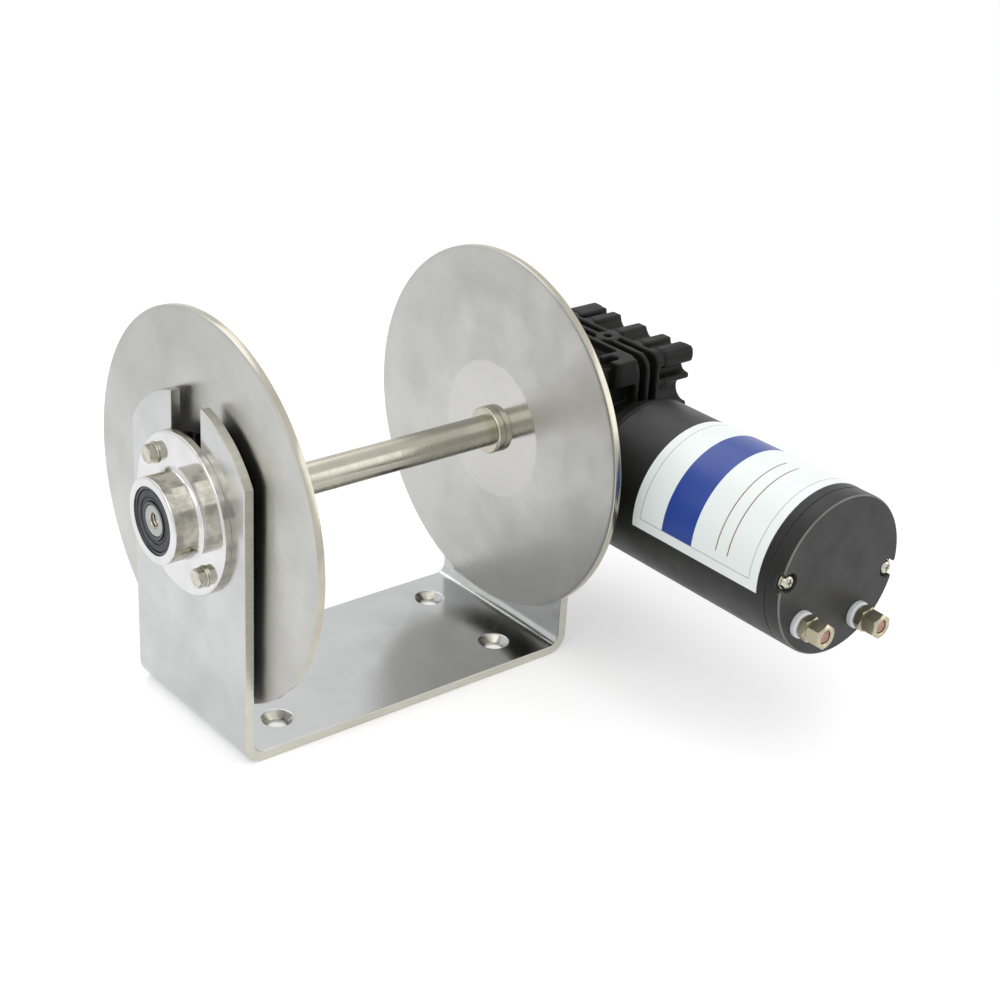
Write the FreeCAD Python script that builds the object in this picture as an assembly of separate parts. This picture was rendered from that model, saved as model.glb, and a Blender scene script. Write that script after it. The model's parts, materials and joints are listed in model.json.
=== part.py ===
import FreeCAD, Part
import math
import os
from FreeCAD import Vector

# Electric anchor winch. Millimetres. +X runs along the drum shaft from the hub to the gearbox,
# -Y points to the motor's terminals, +Z is up. The origin is the centre of the base's underside.

# Frame: one stainless plate, bent to a U
plate_thickness = 5.0
frame_width = 192.0
frame_depth = 96.0
axis_height = 110.0
bend_inner_radius = 5.0
ear_radius = 56.0
slot_width = 25.0
foot_hole_spacing_x = 131.0
foot_hole_spacing_y = 55.0
foot_hole_diameter = 8.5
foot_countersink_diameter = 15.5

# Drum: two discs and their collars on one shaft
disc_diameter = 185.0
disc_thickness = 4.0
disc_edge_chamfer = 0.5
left_disc_gap = 3.2
right_disc_gap = 8.0
shaft_diameter = 16.0
journal_diameter = 15.0
collar_diameter = 24.0
collar_length = 4.5
end_hole_diameter = 6.8
end_hole_countersink = 8.4
end_hole_depth = 18.0
weld_allowance = 0.02
edge_match = 0.001
shaft_chamfer = 0.5
collar_chamfer = 0.8

# Hub on the left cheek
hub_flange_diameter = 76.5
hub_flange_thickness = 4.0
hub_boss_diameter = 40.5
hub_boss_length = 14.0
hub_root_radius = 2.4
hub_edge_chamfer = 0.7
hub_bore_clearance = 1.0
spigot_clearance = 0.15
bearing_recess = 0.8
hub_bolt_circle = 61.0
hub_bolt_angle = 47.0
hub_bolt_head_turn = 12.0

# Shaft bearing, deep groove, 15 x 32 x 9
shaft_bearing = {"outside": 32.0, "width": 9.0, "ball": 4.76, "count": 9}
# Worm bearing, deep groove, 8 x 22 x 7
worm_journal_diameter = 8.0
worm_bearing = {"outside": 22.0, "width": 7.0, "ball": 3.97, "count": 7}
race_depth_share = 0.30
ball_clearance = 0.06
cage_half_thickness = 0.7
cage_side_width = 1.2
seal_thickness = 1.0
seal_step = 1.3
seal_gap = 0.1
seal_inset = 0.1
step_slant = 0.01

# Fasteners: nominal diameter, across flats, head height, washer diameter, washer thickness
hub_bolt = {"d": 5.0, "flats": 8.0, "head": 3.6, "washer": 10.2, "washer_thick": 1.0}
mount_bolt = {"d": 6.0, "flats": 10.0, "head": 4.0, "washer": 12.0, "washer_thick": 1.2}
cover_screw = {"d": 4.0, "flats": 7.0, "head": 4.0}
counterbore_room = 0.2
screw_tip_room = 0.4
flange_screw = {"d": 4.0, "flats": 7.0, "head": 4.0}
flange_screw_seat = 6.0
flange_screw_grip = 7.0
flange_screw_room = 0.4
flange_screw_inset = 5.0
flange_screw_angles = (35.0, 145.0, 180.0, 0.0)
thread_allowance = 0.05
head_chamfer = 0.6
head_chamfer_slope = 30.0
socket_share = 0.8
screw_hole_room = 1.0
mount_bolt_floor = 1.0

# Gear train
wheel_teeth = 30
wheel_tip_clearance = 1.5
worm_pitch_diameter = 15.5
worm_turns = 6
wheel_face_width = 12.0
wheel_hub_diameter = 25.0
wheel_hub_length = 24.0
wheel_web_thickness = 7.0
worm_pressure_angle = 20.0
gear_teeth = 18
pinion_teeth = 12
spur_module = 1.0
spur_pressure_angle = 25.0
spur_face_width = 7.0
tooth_backlash = 0.16
tooth_root_share = 1.25
flank_step = 0.02
wheel_rim_modules = 3.4
thread_sink = 0.3
worm_chamfer = 0.4
key_width = 5.0
key_height = 5.0
key_length = 20.0
key_roof_room = 0.1
spur_key = {"width": 2.0, "height": 2.4, "rise": 1.2}

# Gearbox case and cover
wheel_offset = 42.4
case_length = 62.0
cover_length = 17.5
gasket_thickness = 0.6
case_half = 33.0
fin_half = 39.0
fin_top = 38.0
fin_corner_radius = 8.0
fin_thickness = 2.8
fin_pitch = 7.0
fin_count = 3
rib_tip_share = 0.2
chamber_wall = 3.5
case_corner_radius = 6.0
mounting_flange_thickness = 7.0
mounting_bolt_half_spacing = 29.0
end_flange_thickness = 5.5
lug_start = 29.5
lug_length = 13.5
lug_width = 15.0
lug_depth = 13.5
lug_corner_radius = 2.5
lug_slot_width = 6.0
lug_slot_length = 7.5
lug_slot_offset = 9.0
breather_boss_diameter = 12.5
breather_boss_rise = 0.3
breather_hole_floor = 0.5
breather_hole_diameter = 4.5
breather_boss_y = -6.0
seal_outside_diameter = 28.0
seal_width = 6.0
seal_wall = 1.5
seal_lip_start = 2.5
seal_lip_end = 4.0
seal_lip_rise = 2.0
case_left_wall = 1.5
bearing_to_cover_face = 1.9
cover_screw_inset = 4.5
cover_screw_drop = 5.0
cover_corner_radius = 5.5
cover_boss_size = 9.0
cover_boss_radius = 3.0
cover_boss_rise = 2.0
cover_pocket_wall = 1.5
cover_seat_wall = 3.0
cover_floor = 6.0
clip_room = 1.0
gasket_hole_room = 0.3
thread_floor = 0.8
bearing_lip = 1.5
worm_tube_wall = 4.0
pad_diameter = 66.0
pad_length = 10.0
pad_depth = 4.0
pad_gap = 0.3
worm_chamber_clearance = 1.7
worm_end_cap_thickness = 3.0
worm_bearing_inset = 1.0
worm_rear_room = 4.0
spur_gap = 2.0
worm_shaft_tail = 0.6
spacer_wall = 2.5
shaft_end_clearance = 1.0
clip_thickness = 1.0
clip_diameter = 20.0
clip_groove_depth = 0.5
clip_gap = 6.0

# Bays between the cover's ribs: centre, width, and the floor's height as a share of the rib's
top_bays = ((-27.0, 6.0, 0.17), (-11.5, 12.0, 0.0), (7.5, 13.0, -0.35), (23.0, 4.5, 0.17))
side_bays = ((27.0, 6.5, 0.08), (14.0, 12.5, -0.33), (-4.0, 12.5, -0.33), (-21.0, 10.0, -0.17))

# Motor
motor_diameter = 80.0
motor_wall = 3.0
motor_flange_length = 11.6
motor_neck_diameter = 73.0
motor_neck_length = 7.0
motor_tube_length = 119.6
end_cap_thickness = 9.0
end_cap_rim_length = 4.7
end_cap_rim_wall = 1.4
spigot_length = 5.4
spigot_room = 0.05
flange_bevel = 1.5
bush_boss_foot = 2.0
gear_chamber_clearance = 1.6
gear_chamber_floor = 1.6
armature_shaft_diameter = 8.0
pinion_seat_diameter = 6.5
pinion_flat_depth = 0.6
pinion_seat_end = 0.5
shaft_hole_room = 0.5
bush_gap = 0.4
cap_floor = 2.8
cut_over = 1.0
bush_diameter = 14.0
bush_length = 10.0
bush_boss_diameter = 22.0
running_clearance = 0.03
core_diameter = 60.0
core_length = 60.0
core_start = 27.4
core_slots = 12
core_slot_width = 5.0
core_slot_depth = 13.0
winding_overhang = 8.0
winding_diameter = 54.0
winding_inner_diameter = 18.0
winding_bevel = 2.5
winding_bar_width = 4.6
winding_bar_depth = 9.0
winding_bar_inset = 2.8
commutator_diameter = 26.0
commutator_length = 14.0
commutator_gap = 2.0
commutator_riser = 1.5
magnet_thickness = 5.5
magnet_length = 74.0
magnet_angle = 130.0
cap_turn = -10.0
through_bolt_radius = 34.8
through_bolt = {"d": 4.0, "head_d": 7.0, "washer": 8.6, "washer_thick": 0.8}
# Pan head of a through bolt: height, and how far in from the rim
pan_head = ((1.2, 0.0), (2.0, 0.9), (2.6, 2.2))
through_bolt_grip = 5.0
bolt_hole_room = 0.2
cap_edge_chamfer = 0.8
bolt_notch_depth = 3.4
bolt_notch_diameter = 9.4
bolt_notch_reach = 1.2
brush_plate_thickness = 2.0
brush_plate_room = 0.1
brush_plate_hole_room = 3.0
brush_angle = 45.0
brush_hollow = 2.0
brush_width = 7.0
brush_thickness = 6.0
brush_length = 12.0
brush_gap = 0.2
holder_wall = 1.0
holder_clearance = 0.1
holder_start = 2.5
holder_tail = 5.0
holder_foot_inset = 2.0
spring_thickness = 0.5
spring_side_room = 0.5
spring_end_room = 1.0

# Terminals on the end cap
terminal_x = 20.0
terminal_z = -21.5
terminal = {"d": 6.4, "flats": 11.1, "inner_nut": 5.0, "outer_nut": 8.0, "head_flats": 9.6}
terminal_nut_turns = (8.0, 24.0)
terminal_bush_diameter = 13.4
terminal_bush_thickness = 3.2
terminal_sleeve_diameter = 9.0
terminal_head_thickness = 4.0
terminal_recess = 0.8
terminal_bush_chamfer = 0.8

# Label on the motor tube
label_thickness = 0.25
label_start = 32.0
label_length = 82.6
label_low_angle = 185.0
label_high_angle = 38.0

# Places that follow from the sizes above
cheek_x = frame_width / 2
shaft_r = shaft_diameter / 2
journal_r = journal_diameter / 2
disc_r = disc_diameter / 2
cheek_inner_x = cheek_x - plate_thickness
left_disc_x = -cheek_inner_x + left_disc_gap
right_disc_x = cheek_inner_x - right_disc_gap - disc_thickness
hub_face_x = -cheek_x - hub_flange_thickness - hub_boss_length
hub_bearing_x = hub_face_x + bearing_recess
hub_shoulder_x = hub_bearing_x + shaft_bearing["width"]
hub_bore_r = shaft_r + hub_bore_clearance

wheel_x = cheek_x + wheel_offset
wheel_chamber_r = case_half - chamber_wall
worm_module = (wheel_chamber_r - wheel_tip_clearance) / (wheel_teeth / 2 + 1)
wheel_pitch_r = worm_module * wheel_teeth / 2
worm_pitch_r = worm_pitch_diameter / 2
worm_z = axis_height - wheel_pitch_r - worm_pitch_r
motor_z = worm_z + spur_module * (gear_teeth + pinion_teeth) / 2
worm_lead_angle = math.atan(worm_module / worm_pitch_diameter)
worm_thread_length = worm_turns * math.pi * worm_module
wheel_half_hub = wheel_hub_length / 2

case_end_x = cheek_x + case_length
cover_x = case_end_x + gasket_thickness
cover_end_x = cover_x + cover_length
cover_seat_x = cover_end_x + cover_boss_rise - cover_screw["head"] - screw_tip_room
cover_thread_x = case_end_x - end_flange_thickness + thread_floor
seal_x = cheek_x + case_left_wall
case_bearing_x = seal_x + seal_width + case_left_wall
cover_bearing_x = cover_x + bearing_to_cover_face
shaft_shoulder_x = case_bearing_x
shaft_clip_x = cover_bearing_x + shaft_bearing["width"]
shaft_end_x = shaft_clip_x + clip_thickness + shaft_end_clearance

pad_y = -case_half - pad_length
worm_front_bearing_y = pad_y + worm_bearing_inset
worm_rear_bearing_y = -worm_front_bearing_y - worm_bearing["width"] - worm_rear_room
worm_tube_r = worm_bearing["outside"] / 2 + worm_tube_wall
worm_tube_end_y = worm_rear_bearing_y + worm_bearing["width"] + worm_end_cap_thickness
spur_y = pad_y - spur_gap
worm_shaft_front_y = spur_y - spur_face_width - worm_shaft_tail

motor_r = motor_diameter / 2
tube_inner_r = motor_r - motor_wall
tube_y = pad_y - motor_flange_length
tube_end_y = tube_y - motor_tube_length
cap_face_y = tube_end_y - end_cap_thickness
gear_chamber_y = spur_y - spur_face_width - gear_chamber_floor
drive_bush_y = gear_chamber_y - bush_gap
core_y = tube_y - core_start
core_end_y = core_y - core_length
commutator_y = core_end_y - winding_overhang - commutator_gap
commutator_end_y = commutator_y - commutator_length
cap_rim_y = tube_end_y + end_cap_rim_length
brush_y = commutator_y - commutator_length / 2
armature_end_y = cap_face_y + cap_floor
cap_bush_length = tube_end_y - armature_end_y + bush_gap


def box(x0, x1, y0, y1, z0, z1):
    return Part.makeBox(x1 - x0, y1 - y0, z1 - z0, Vector(x0, y0, z0))


def rod_x(radius, x0, x1, y=0.0, z=axis_height):
    return Part.makeCylinder(radius, x1 - x0, Vector(x0, y, z), Vector(1, 0, 0))


def rod_y(radius, y0, y1, x=wheel_x, z=motor_z):
    return Part.makeCylinder(radius, y1 - y0, Vector(x, y0, z), Vector(0, 1, 0))


def rod_z(radius, z0, z1, x, y):
    return Part.makeCylinder(radius, z1 - z0, Vector(x, y, z0), Vector(0, 0, 1))


def join(shapes):
    shapes = list(shapes)
    return shapes[0].multiFuse(shapes[1:]).removeSplitter()


def group(shapes):
    return Part.makeCompound(list(shapes))


def outline(corners, place):
    """A closed face through (u, v, corner radius), put in space by place(u, v)."""
    edges = []
    ends = []
    for index, (u, v, radius) in enumerate(corners):
        corner = place(u, v)
        before = place(*corners[index - 1][:2]) - corner
        after = place(*corners[(index + 1) % len(corners)][:2]) - corner
        before.normalize()
        after.normalize()
        half = before.getAngle(after) / 2
        reach = radius / math.tan(half)
        middle = before + after
        if radius > 0:
            middle.normalize()
        apex = corner + middle * (radius / math.sin(half) - radius)
        ends.append((corner + before * reach, apex, corner + after * reach, radius))
    for index, (start, apex, end, radius) in enumerate(ends):
        edges.append(Part.makeLine(ends[index - 1][2], start))
        if radius > 0:
            edges.append(Part.Arc(start, apex, end).toShape())
    return Part.Face(Part.Wire(edges))


def slab_x(x0, x1, y0, y1, z0, z1, radius):
    """A plate across X with four rounded corners."""
    corners = [(y0, z0, radius), (y1, z0, radius), (y1, z1, radius), (y0, z1, radius)]
    return outline(corners, lambda y, z: Vector(x0, y, z)).extrude(Vector(x1 - x0, 0, 0))


def turned(points, place, direction):
    """A solid of revolution from (along, radius) points about the axis at place."""
    side = Vector(0, 0, 1)
    corners = [place + direction * along + side * radius for along, radius in points]
    wire = Part.makePolygon(corners + corners[:1])
    return Part.Face(wire).revolve(place, direction, 360)


def circles_at(body, x, radius):
    """The body's round edges of a radius in a plane across X."""
    return [edge for edge in body.Edges if isinstance(edge.Curve, Part.Circle)
            and abs(edge.Curve.Radius - radius) < edge_match and abs(edge.BoundBox.XMin - x) < edge_match
            and edge.BoundBox.XLength < edge_match]


def turned_x(points, y=0.0, z=axis_height):
    return turned(points, Vector(0, y, z), Vector(1, 0, 0))


def turned_y(points, x=wheel_x, z=motor_z):
    return turned(points, Vector(x, 0, z), Vector(0, 1, 0))


def hexagon(flats, height, place, direction, turn=0.0):
    """A hexagonal prism with its far corners chamfered, standing on place."""
    corner_r = flats / math.sqrt(3)
    angles = [math.radians(60 * side + turn) for side in range(6)]
    corners = [Vector(corner_r * math.cos(a), corner_r * math.sin(a), 0) for a in angles]
    prism = Part.Face(Part.makePolygon(corners + corners[:1])).extrude(Vector(0, 0, height))
    cone = Part.makeCone(corner_r + height / math.tan(math.radians(head_chamfer_slope)) - head_chamfer,
                         corner_r - head_chamfer, height)
    head = prism.common(cone)
    head.Placement = FreeCAD.Placement(place, FreeCAD.Rotation(Vector(0, 0, 1), direction))
    return head


def ring(outer_r, inner_r, height, place, direction):
    outer = Part.makeCylinder(outer_r, height, place, direction)
    return outer.cut(Part.makeCylinder(inner_r, height, place, direction))


def hexagon_bolt(size, length, place, direction, turn=0.0):
    """A bolt whose head stands on place and whose shank runs the other way."""
    head = hexagon(size["flats"], size["head"], place, direction, turn)
    return head.fuse(Part.makeCylinder(size["d"] / 2, length, place, direction * -1))


# Frame
def cheek_outline():
    """What the cheeks keep of the bent plate: straight sides under a round top, with an open slot."""
    half = frame_depth / 2
    slot_r = slot_width / 2
    block = box(-cheek_x, cheek_x, -half, half, 0, axis_height)
    top = rod_x(ear_radius, -cheek_x, cheek_x)
    top = top.common(box(-cheek_x, cheek_x, -half, half, 0, axis_height + ear_radius))
    slot = rod_x(slot_r, -cheek_x, cheek_x)
    slot = slot.fuse(box(-cheek_x, cheek_x, -slot_r, slot_r, axis_height, axis_height + ear_radius))
    return block.fuse(top).cut(slot)


def foot_hole_places():
    return [(sx * foot_hole_spacing_x / 2, sy * foot_hole_spacing_y / 2)
            for sx in (-1, 1) for sy in (-1, 1)]


def hub_bolt_places():
    """The two hub bolts lie opposite each other."""
    places = []
    for turn in (0, 180):
        angle = math.radians(hub_bolt_angle + turn)
        places.append((hub_bolt_circle / 2 * math.cos(angle),
                       axis_height + hub_bolt_circle / 2 * math.sin(angle)))
    return places


def mount_bolt_places():
    half = mounting_bolt_half_spacing
    return [(sy * half, axis_height + sz * half) for sy in (-1, 1) for sz in (-1, 1)]


def make_frame():
    top = axis_height + ear_radius
    outer_r = bend_inner_radius + plate_thickness
    inner_x = cheek_x - plate_thickness
    corners = [(-cheek_x, 0, outer_r), (cheek_x, 0, outer_r), (cheek_x, top, 0), (inner_x, top, 0),
               (inner_x, plate_thickness, bend_inner_radius),
               (-inner_x, plate_thickness, bend_inner_radius), (-inner_x, top, 0), (-cheek_x, top, 0)]
    face = outline(corners, lambda x, z: Vector(x, -frame_depth / 2, z))
    body = face.extrude(Vector(0, frame_depth, 0)).common(cheek_outline())
    sink_depth = (foot_countersink_diameter - foot_hole_diameter) / 2
    cuts = []
    for x, y in foot_hole_places():
        cuts.append(rod_z(foot_hole_diameter / 2, -1, plate_thickness + 1, x, y))
        cuts.append(Part.makeCone(foot_hole_diameter / 2, foot_countersink_diameter / 2, sink_depth,
                                  Vector(x, y, plate_thickness - sink_depth)))
    for y, z in hub_bolt_places():
        cuts.append(rod_x(hub_bolt["d"] / 2 + thread_allowance, -cheek_x, -inner_x, y, z))
    for y, z in mount_bolt_places():
        cuts.append(rod_x(mount_bolt["d"] / 2 + thread_allowance, inner_x, cheek_x, y, z))
    return body.cut(group(cuts))


# Hub and ball bearings
def make_hub():
    flange_x = -cheek_x - hub_flange_thickness
    boss_r = hub_boss_diameter / 2
    flange_r = hub_flange_diameter / 2
    seat_r = shaft_bearing["outside"] / 2
    spigot_r = slot_width / 2 - spigot_clearance
    body = turned_x([(-cheek_inner_x, hub_bore_r), (-cheek_inner_x, spigot_r), (-cheek_x, spigot_r),
                     (-cheek_x, flange_r), (flange_x + hub_edge_chamfer, flange_r),
                     (flange_x, flange_r - hub_edge_chamfer), (flange_x, boss_r),
                     (hub_face_x + hub_edge_chamfer, boss_r), (hub_face_x, boss_r - hub_edge_chamfer),
                     (hub_face_x, seat_r), (hub_shoulder_x, seat_r), (hub_shoulder_x, hub_bore_r)])
    body = body.makeFillet(hub_root_radius, circles_at(body, flange_x, boss_r))
    hole_r = hub_bolt["d"] / 2 + thread_allowance
    return body.cut(group([rod_x(hole_r, flange_x, -cheek_x, y, z) for y, z in hub_bolt_places()]))


def race_radii(bearing, bore):
    """Pitch radius of the balls, and the shoulder radii of the inner and outer ring."""
    pitch_r = (bearing["outside"] + bore) / 4
    shoulder = bearing["ball"] * race_depth_share
    return pitch_r, pitch_r - shoulder, pitch_r + shoulder


def bearing_parts(bearing, bore, start, place, direction, sealed=False):
    """Outer ring, inner ring, balls, cage and seals of one bearing that begins at start along its axis."""
    width = bearing["width"]
    pitch_r, inner_shoulder, outer_shoulder = race_radii(bearing, bore)
    outer_r = bearing["outside"] / 2
    bore_r = bore / 2
    step = seal_step if sealed else 0.0
    inner_step_r = (bore_r + inner_shoulder) / 2
    outer_step_r = (outer_r + outer_shoulder) / 2
    end = start + width
    seal_edge = outer_step_r if sealed else outer_shoulder
    lip_edge = inner_step_r if sealed else inner_shoulder
    outer = turned([(start, outer_r), (end, outer_r), (end, seal_edge), (end - step, seal_edge),
                    (end - step - step_slant, outer_shoulder),
                    (start + step + step_slant, outer_shoulder),
                    (start + step, seal_edge), (start, seal_edge)], place, direction)
    inner = turned([(start, bore_r), (end, bore_r), (end, lip_edge), (end - step, lip_edge),
                    (end - step - step_slant, inner_shoulder),
                    (start + step + step_slant, inner_shoulder),
                    (start + step, lip_edge), (start, lip_edge)], place, direction)
    middle = place + direction * (start + width / 2)
    groove = Part.makeTorus(pitch_r, bearing["ball"] / 2 + ball_clearance, middle, direction)
    side = Vector(0, 0, 1)
    cage_width = bearing["ball"] + cage_side_width
    cage = ring(pitch_r + cage_half_thickness, pitch_r - cage_half_thickness, cage_width,
                middle - direction * (cage_width / 2), direction)
    balls = []
    pockets = []
    for index in range(bearing["count"]):
        spin = FreeCAD.Rotation(direction, 360.0 * index / bearing["count"])
        outwards = spin.multVec(side)
        balls.append(Part.makeSphere(bearing["ball"] / 2, middle + outwards * pitch_r))
        pocket_start = middle + outwards * (pitch_r - bearing["ball"] / 2)
        pockets.append(Part.makeCylinder(bearing["ball"] / 2 + ball_clearance, bearing["ball"],
                                         pocket_start, outwards))
    seals = []
    if sealed:
        seal_outer = outer_step_r
        seal_inner = inner_step_r + seal_gap
        for seal_start in (start + seal_inset, end - seal_inset - seal_thickness):
            seals.append(ring(seal_outer, seal_inner, seal_thickness,
                              place + direction * seal_start, direction))
    return {"outer": outer.cut(groove), "inner": inner.cut(groove), "balls": group(balls),
            "cage": cage.cut(group(pockets)), "seals": seals}


def shaft_bearing_at(start, sealed=False):
    return bearing_parts(shaft_bearing, journal_diameter, start, Vector(0, 0, axis_height),
                         Vector(1, 0, 0), sealed)


def worm_bearing_at(start):
    return bearing_parts(worm_bearing, worm_journal_diameter, start, Vector(wheel_x, 0, worm_z),
                         Vector(0, 1, 0))


def make_bearing_nodes():
    hub_set = shaft_bearing_at(hub_bearing_x, sealed=True)
    output = [shaft_bearing_at(case_bearing_x), shaft_bearing_at(cover_bearing_x)]
    worm = [worm_bearing_at(worm_front_bearing_y), worm_bearing_at(worm_rear_bearing_y)]
    nodes = {"hub_bearing_outer_ring": hub_set["outer"], "hub_bearing_inner_ring": hub_set["inner"],
             "hub_bearing_balls": hub_set["balls"], "hub_bearing_cage": hub_set["cage"],
             "hub_bearing_seals": group(hub_set["seals"])}
    for name, bearings in (("output_bearing", output), ("worm_bearing", worm)):
        nodes[name + "_outer_rings"] = group(item["outer"] for item in bearings)
        nodes[name + "_inner_rings"] = group(item["inner"] for item in bearings)
        nodes[name + "_balls"] = group(item["balls"] for item in bearings)
        nodes[name + "_cages"] = group(item["cage"] for item in bearings)
    return nodes


def make_hub_bolts():
    washer = hub_bolt["washer_thick"]
    face = -cheek_x - hub_flange_thickness - washer
    length = washer + hub_flange_thickness + plate_thickness
    return group(hexagon_bolt(hub_bolt, length, Vector(face, y, z), Vector(-1, 0, 0),
                              hub_bolt_head_turn) for y, z in hub_bolt_places())


def make_hub_washers():
    face = -cheek_x - hub_flange_thickness
    inner_r = hub_bolt["d"] / 2 + thread_allowance
    return group(ring(hub_bolt["washer"] / 2, inner_r, hub_bolt["washer_thick"], Vector(face, y, z),
                      Vector(-1, 0, 0)) for y, z in hub_bolt_places())


# Drum
def make_shaft():
    chamfer = shaft_chamfer
    start = hub_bearing_x
    body = turned_x([(start, 0), (start, journal_r - chamfer), (start + chamfer, journal_r),
                     (hub_shoulder_x, journal_r), (hub_shoulder_x, shaft_r),
                     (shaft_shoulder_x, shaft_r), (shaft_shoulder_x, journal_r),
                     (shaft_clip_x, journal_r), (shaft_clip_x, journal_r - clip_groove_depth),
                     (shaft_clip_x + clip_thickness, journal_r - clip_groove_depth),
                     (shaft_clip_x + clip_thickness, journal_r), (shaft_end_x - chamfer, journal_r),
                     (shaft_end_x, journal_r - chamfer), (shaft_end_x, 0)])
    hole_r = end_hole_diameter / 2
    sink_r = end_hole_countersink / 2
    hole = rod_x(hole_r, start, start + end_hole_depth)
    sink = Part.makeCone(sink_r, hole_r, sink_r - hole_r, Vector(start, 0, axis_height), Vector(1, 0, 0))
    seat = key_box(0.0)
    return body.cut(hole).cut(sink).cut(seat)


def key_box(clearance):
    """The key lies in the top of the shaft under the worm wheel."""
    half = key_length / 2 + clearance
    wide = key_width / 2 + clearance
    low = axis_height + journal_r - key_height / 2
    return box(wheel_x - half, wheel_x + half, -wide, wide, low, low + key_height + clearance)


def make_disc(x):
    end = x + disc_thickness
    edge = disc_r - disc_edge_chamfer
    bore = shaft_r + weld_allowance
    return turned_x([(x, bore), (x, edge), (x + disc_edge_chamfer, disc_r),
                     (end - disc_edge_chamfer, disc_r), (end, edge), (end, bore)])


def make_collar(x0, x1, open_end):
    """A collar that touches its disc, with its free edge chamfered."""
    radius = collar_diameter / 2
    chamfer = collar_chamfer
    bore = shaft_r + weld_allowance
    far = x0 if open_end < 0 else x1
    near = x1 if open_end < 0 else x0
    return turned_x([(near, bore), (near, radius), (far - open_end * chamfer, radius),
                     (far, radius - chamfer), (far, bore)])


# Gears
def involute(angle):
    return math.tan(angle) - angle


def tooth_flank(teeth, module, pressure_angle):
    """(radius, half angle of the tooth) from the root to the tip, with backlash taken off."""
    pitch_r = module * teeth / 2
    alpha = math.radians(pressure_angle)
    base_r = pitch_r * math.cos(alpha)
    root_r = pitch_r - tooth_root_share * module
    half_at_pitch = (math.pi / 2 * module - tooth_backlash / 2) / (2 * pitch_r)
    flank = []
    for radius in (root_r, max(base_r, root_r + flank_step), pitch_r, pitch_r + module):
        at_base = max(radius, base_r)
        half = half_at_pitch + involute(alpha) - involute(math.acos(base_r / at_base))
        flank.append((radius, half))
    return flank


def gear_wire(teeth, module, pressure_angle, turn, place):
    """A closed toothed outline. place(radius, angle) puts a point in space."""
    flank = tooth_flank(teeth, module, pressure_angle)
    points = []
    for tooth in range(teeth):
        middle = turn + 2 * math.pi * tooth / teeth
        points += [place(radius, middle - half) for radius, half in flank]
        points += [place(radius, middle + half) for radius, half in reversed(flank)]
    return Part.makePolygon(points + points[:1])


def make_worm_wheel():
    """Helical teeth whose angle is the worm's lead angle. A gap faces the worm at rest."""
    half = wheel_face_width / 2
    first = -math.pi / 2 + math.pi / wheel_teeth
    wires = []
    for side in (-half, half):
        lean = side * math.tan(worm_lead_angle) / wheel_pitch_r
        place = (lambda radius, angle, x=wheel_x + side:
                 Vector(x, radius * math.cos(angle), axis_height + radius * math.sin(angle)))
        wires.append(gear_wire(wheel_teeth, worm_module, worm_pressure_angle, first + lean, place))
    teeth = Part.makeLoft(wires, True, True)
    rim_r = wheel_pitch_r - wheel_rim_modules * worm_module
    hub_r = wheel_hub_diameter / 2
    web = wheel_web_thickness / 2
    body = teeth.cut(rod_x(rim_r, wheel_x - half, wheel_x + half))
    body = body.fuse(rod_x(rim_r, wheel_x - web, wheel_x + web))
    body = body.fuse(rod_x(hub_r, wheel_x - wheel_half_hub, wheel_x + wheel_half_hub))
    body = body.cut(rod_x(journal_r + weld_allowance, wheel_x - wheel_half_hub, wheel_x + wheel_half_hub))
    key_half = key_width / 2 + weld_allowance
    keyway = box(wheel_x - wheel_half_hub, wheel_x + wheel_half_hub, -key_half, key_half, axis_height,
                 axis_height + journal_r + key_height / 2 + key_roof_room)
    return body.cut(keyway)


def make_worm_thread():
    """A right-hand trapezoid thread about +Y whose crest faces the wheel in the wheel's middle plane."""
    pitch = math.pi * worm_module
    slope = math.tan(math.radians(worm_pressure_angle))
    half_at_pitch = (pitch / 2 - tooth_backlash / 2) / 2
    low = -tooth_root_share * worm_module - thread_sink
    high = worm_module
    corners = [Vector(worm_pitch_r + h, 0, side * (half_at_pitch - h * slope))
               for h, side in ((low, -1), (high, -1), (high, 1), (low, 1))]
    profile = Part.makePolygon(corners + corners[:1])
    helix = Part.makeHelix(pitch, worm_thread_length, worm_pitch_r)
    thread = Part.Wire(helix).makePipeShell([profile], True, True)
    thread.translate(Vector(0, 0, -worm_thread_length / 2))
    thread.rotate(Vector(0, 0, 0), Vector(1, 1, 1), -120)
    thread.translate(Vector(wheel_x, 0, worm_z))
    return thread


def make_worm_shaft():
    root_r = worm_pitch_r - tooth_root_share * worm_module
    journal = worm_journal_diameter / 2
    front_shoulder = worm_front_bearing_y + worm_bearing["width"]
    rear_shoulder = worm_rear_bearing_y
    rear_end = worm_rear_bearing_y + worm_bearing["width"]
    core = turned_y([(worm_shaft_front_y, 0), (worm_shaft_front_y, journal - worm_chamfer),
                     (worm_shaft_front_y + worm_chamfer, journal), (front_shoulder, journal),
                     (front_shoulder, root_r), (rear_shoulder, root_r), (rear_shoulder, journal),
                     (rear_end - worm_chamfer, journal), (rear_end, journal - worm_chamfer),
                     (rear_end, 0)], z=worm_z)
    return core.fuse(make_worm_thread())


def spur_solid(teeth, y0, y1, z, turn):
    place = lambda radius, angle: Vector(wheel_x + radius * math.cos(angle), y0,
                                         z + radius * math.sin(angle))
    wire = gear_wire(teeth, spur_module, spur_pressure_angle, turn, place)
    return Part.Face(wire).extrude(Vector(0, y1 - y0, 0))


def spur_gear_key(clearance):
    half = spur_key["width"] / 2 + clearance
    top = worm_z + worm_journal_diameter / 2 + spur_key["rise"]
    return box(wheel_x - half, wheel_x + half, spur_y - spur_face_width, spur_y,
               top - spur_key["height"] - clearance, top + clearance)


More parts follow.
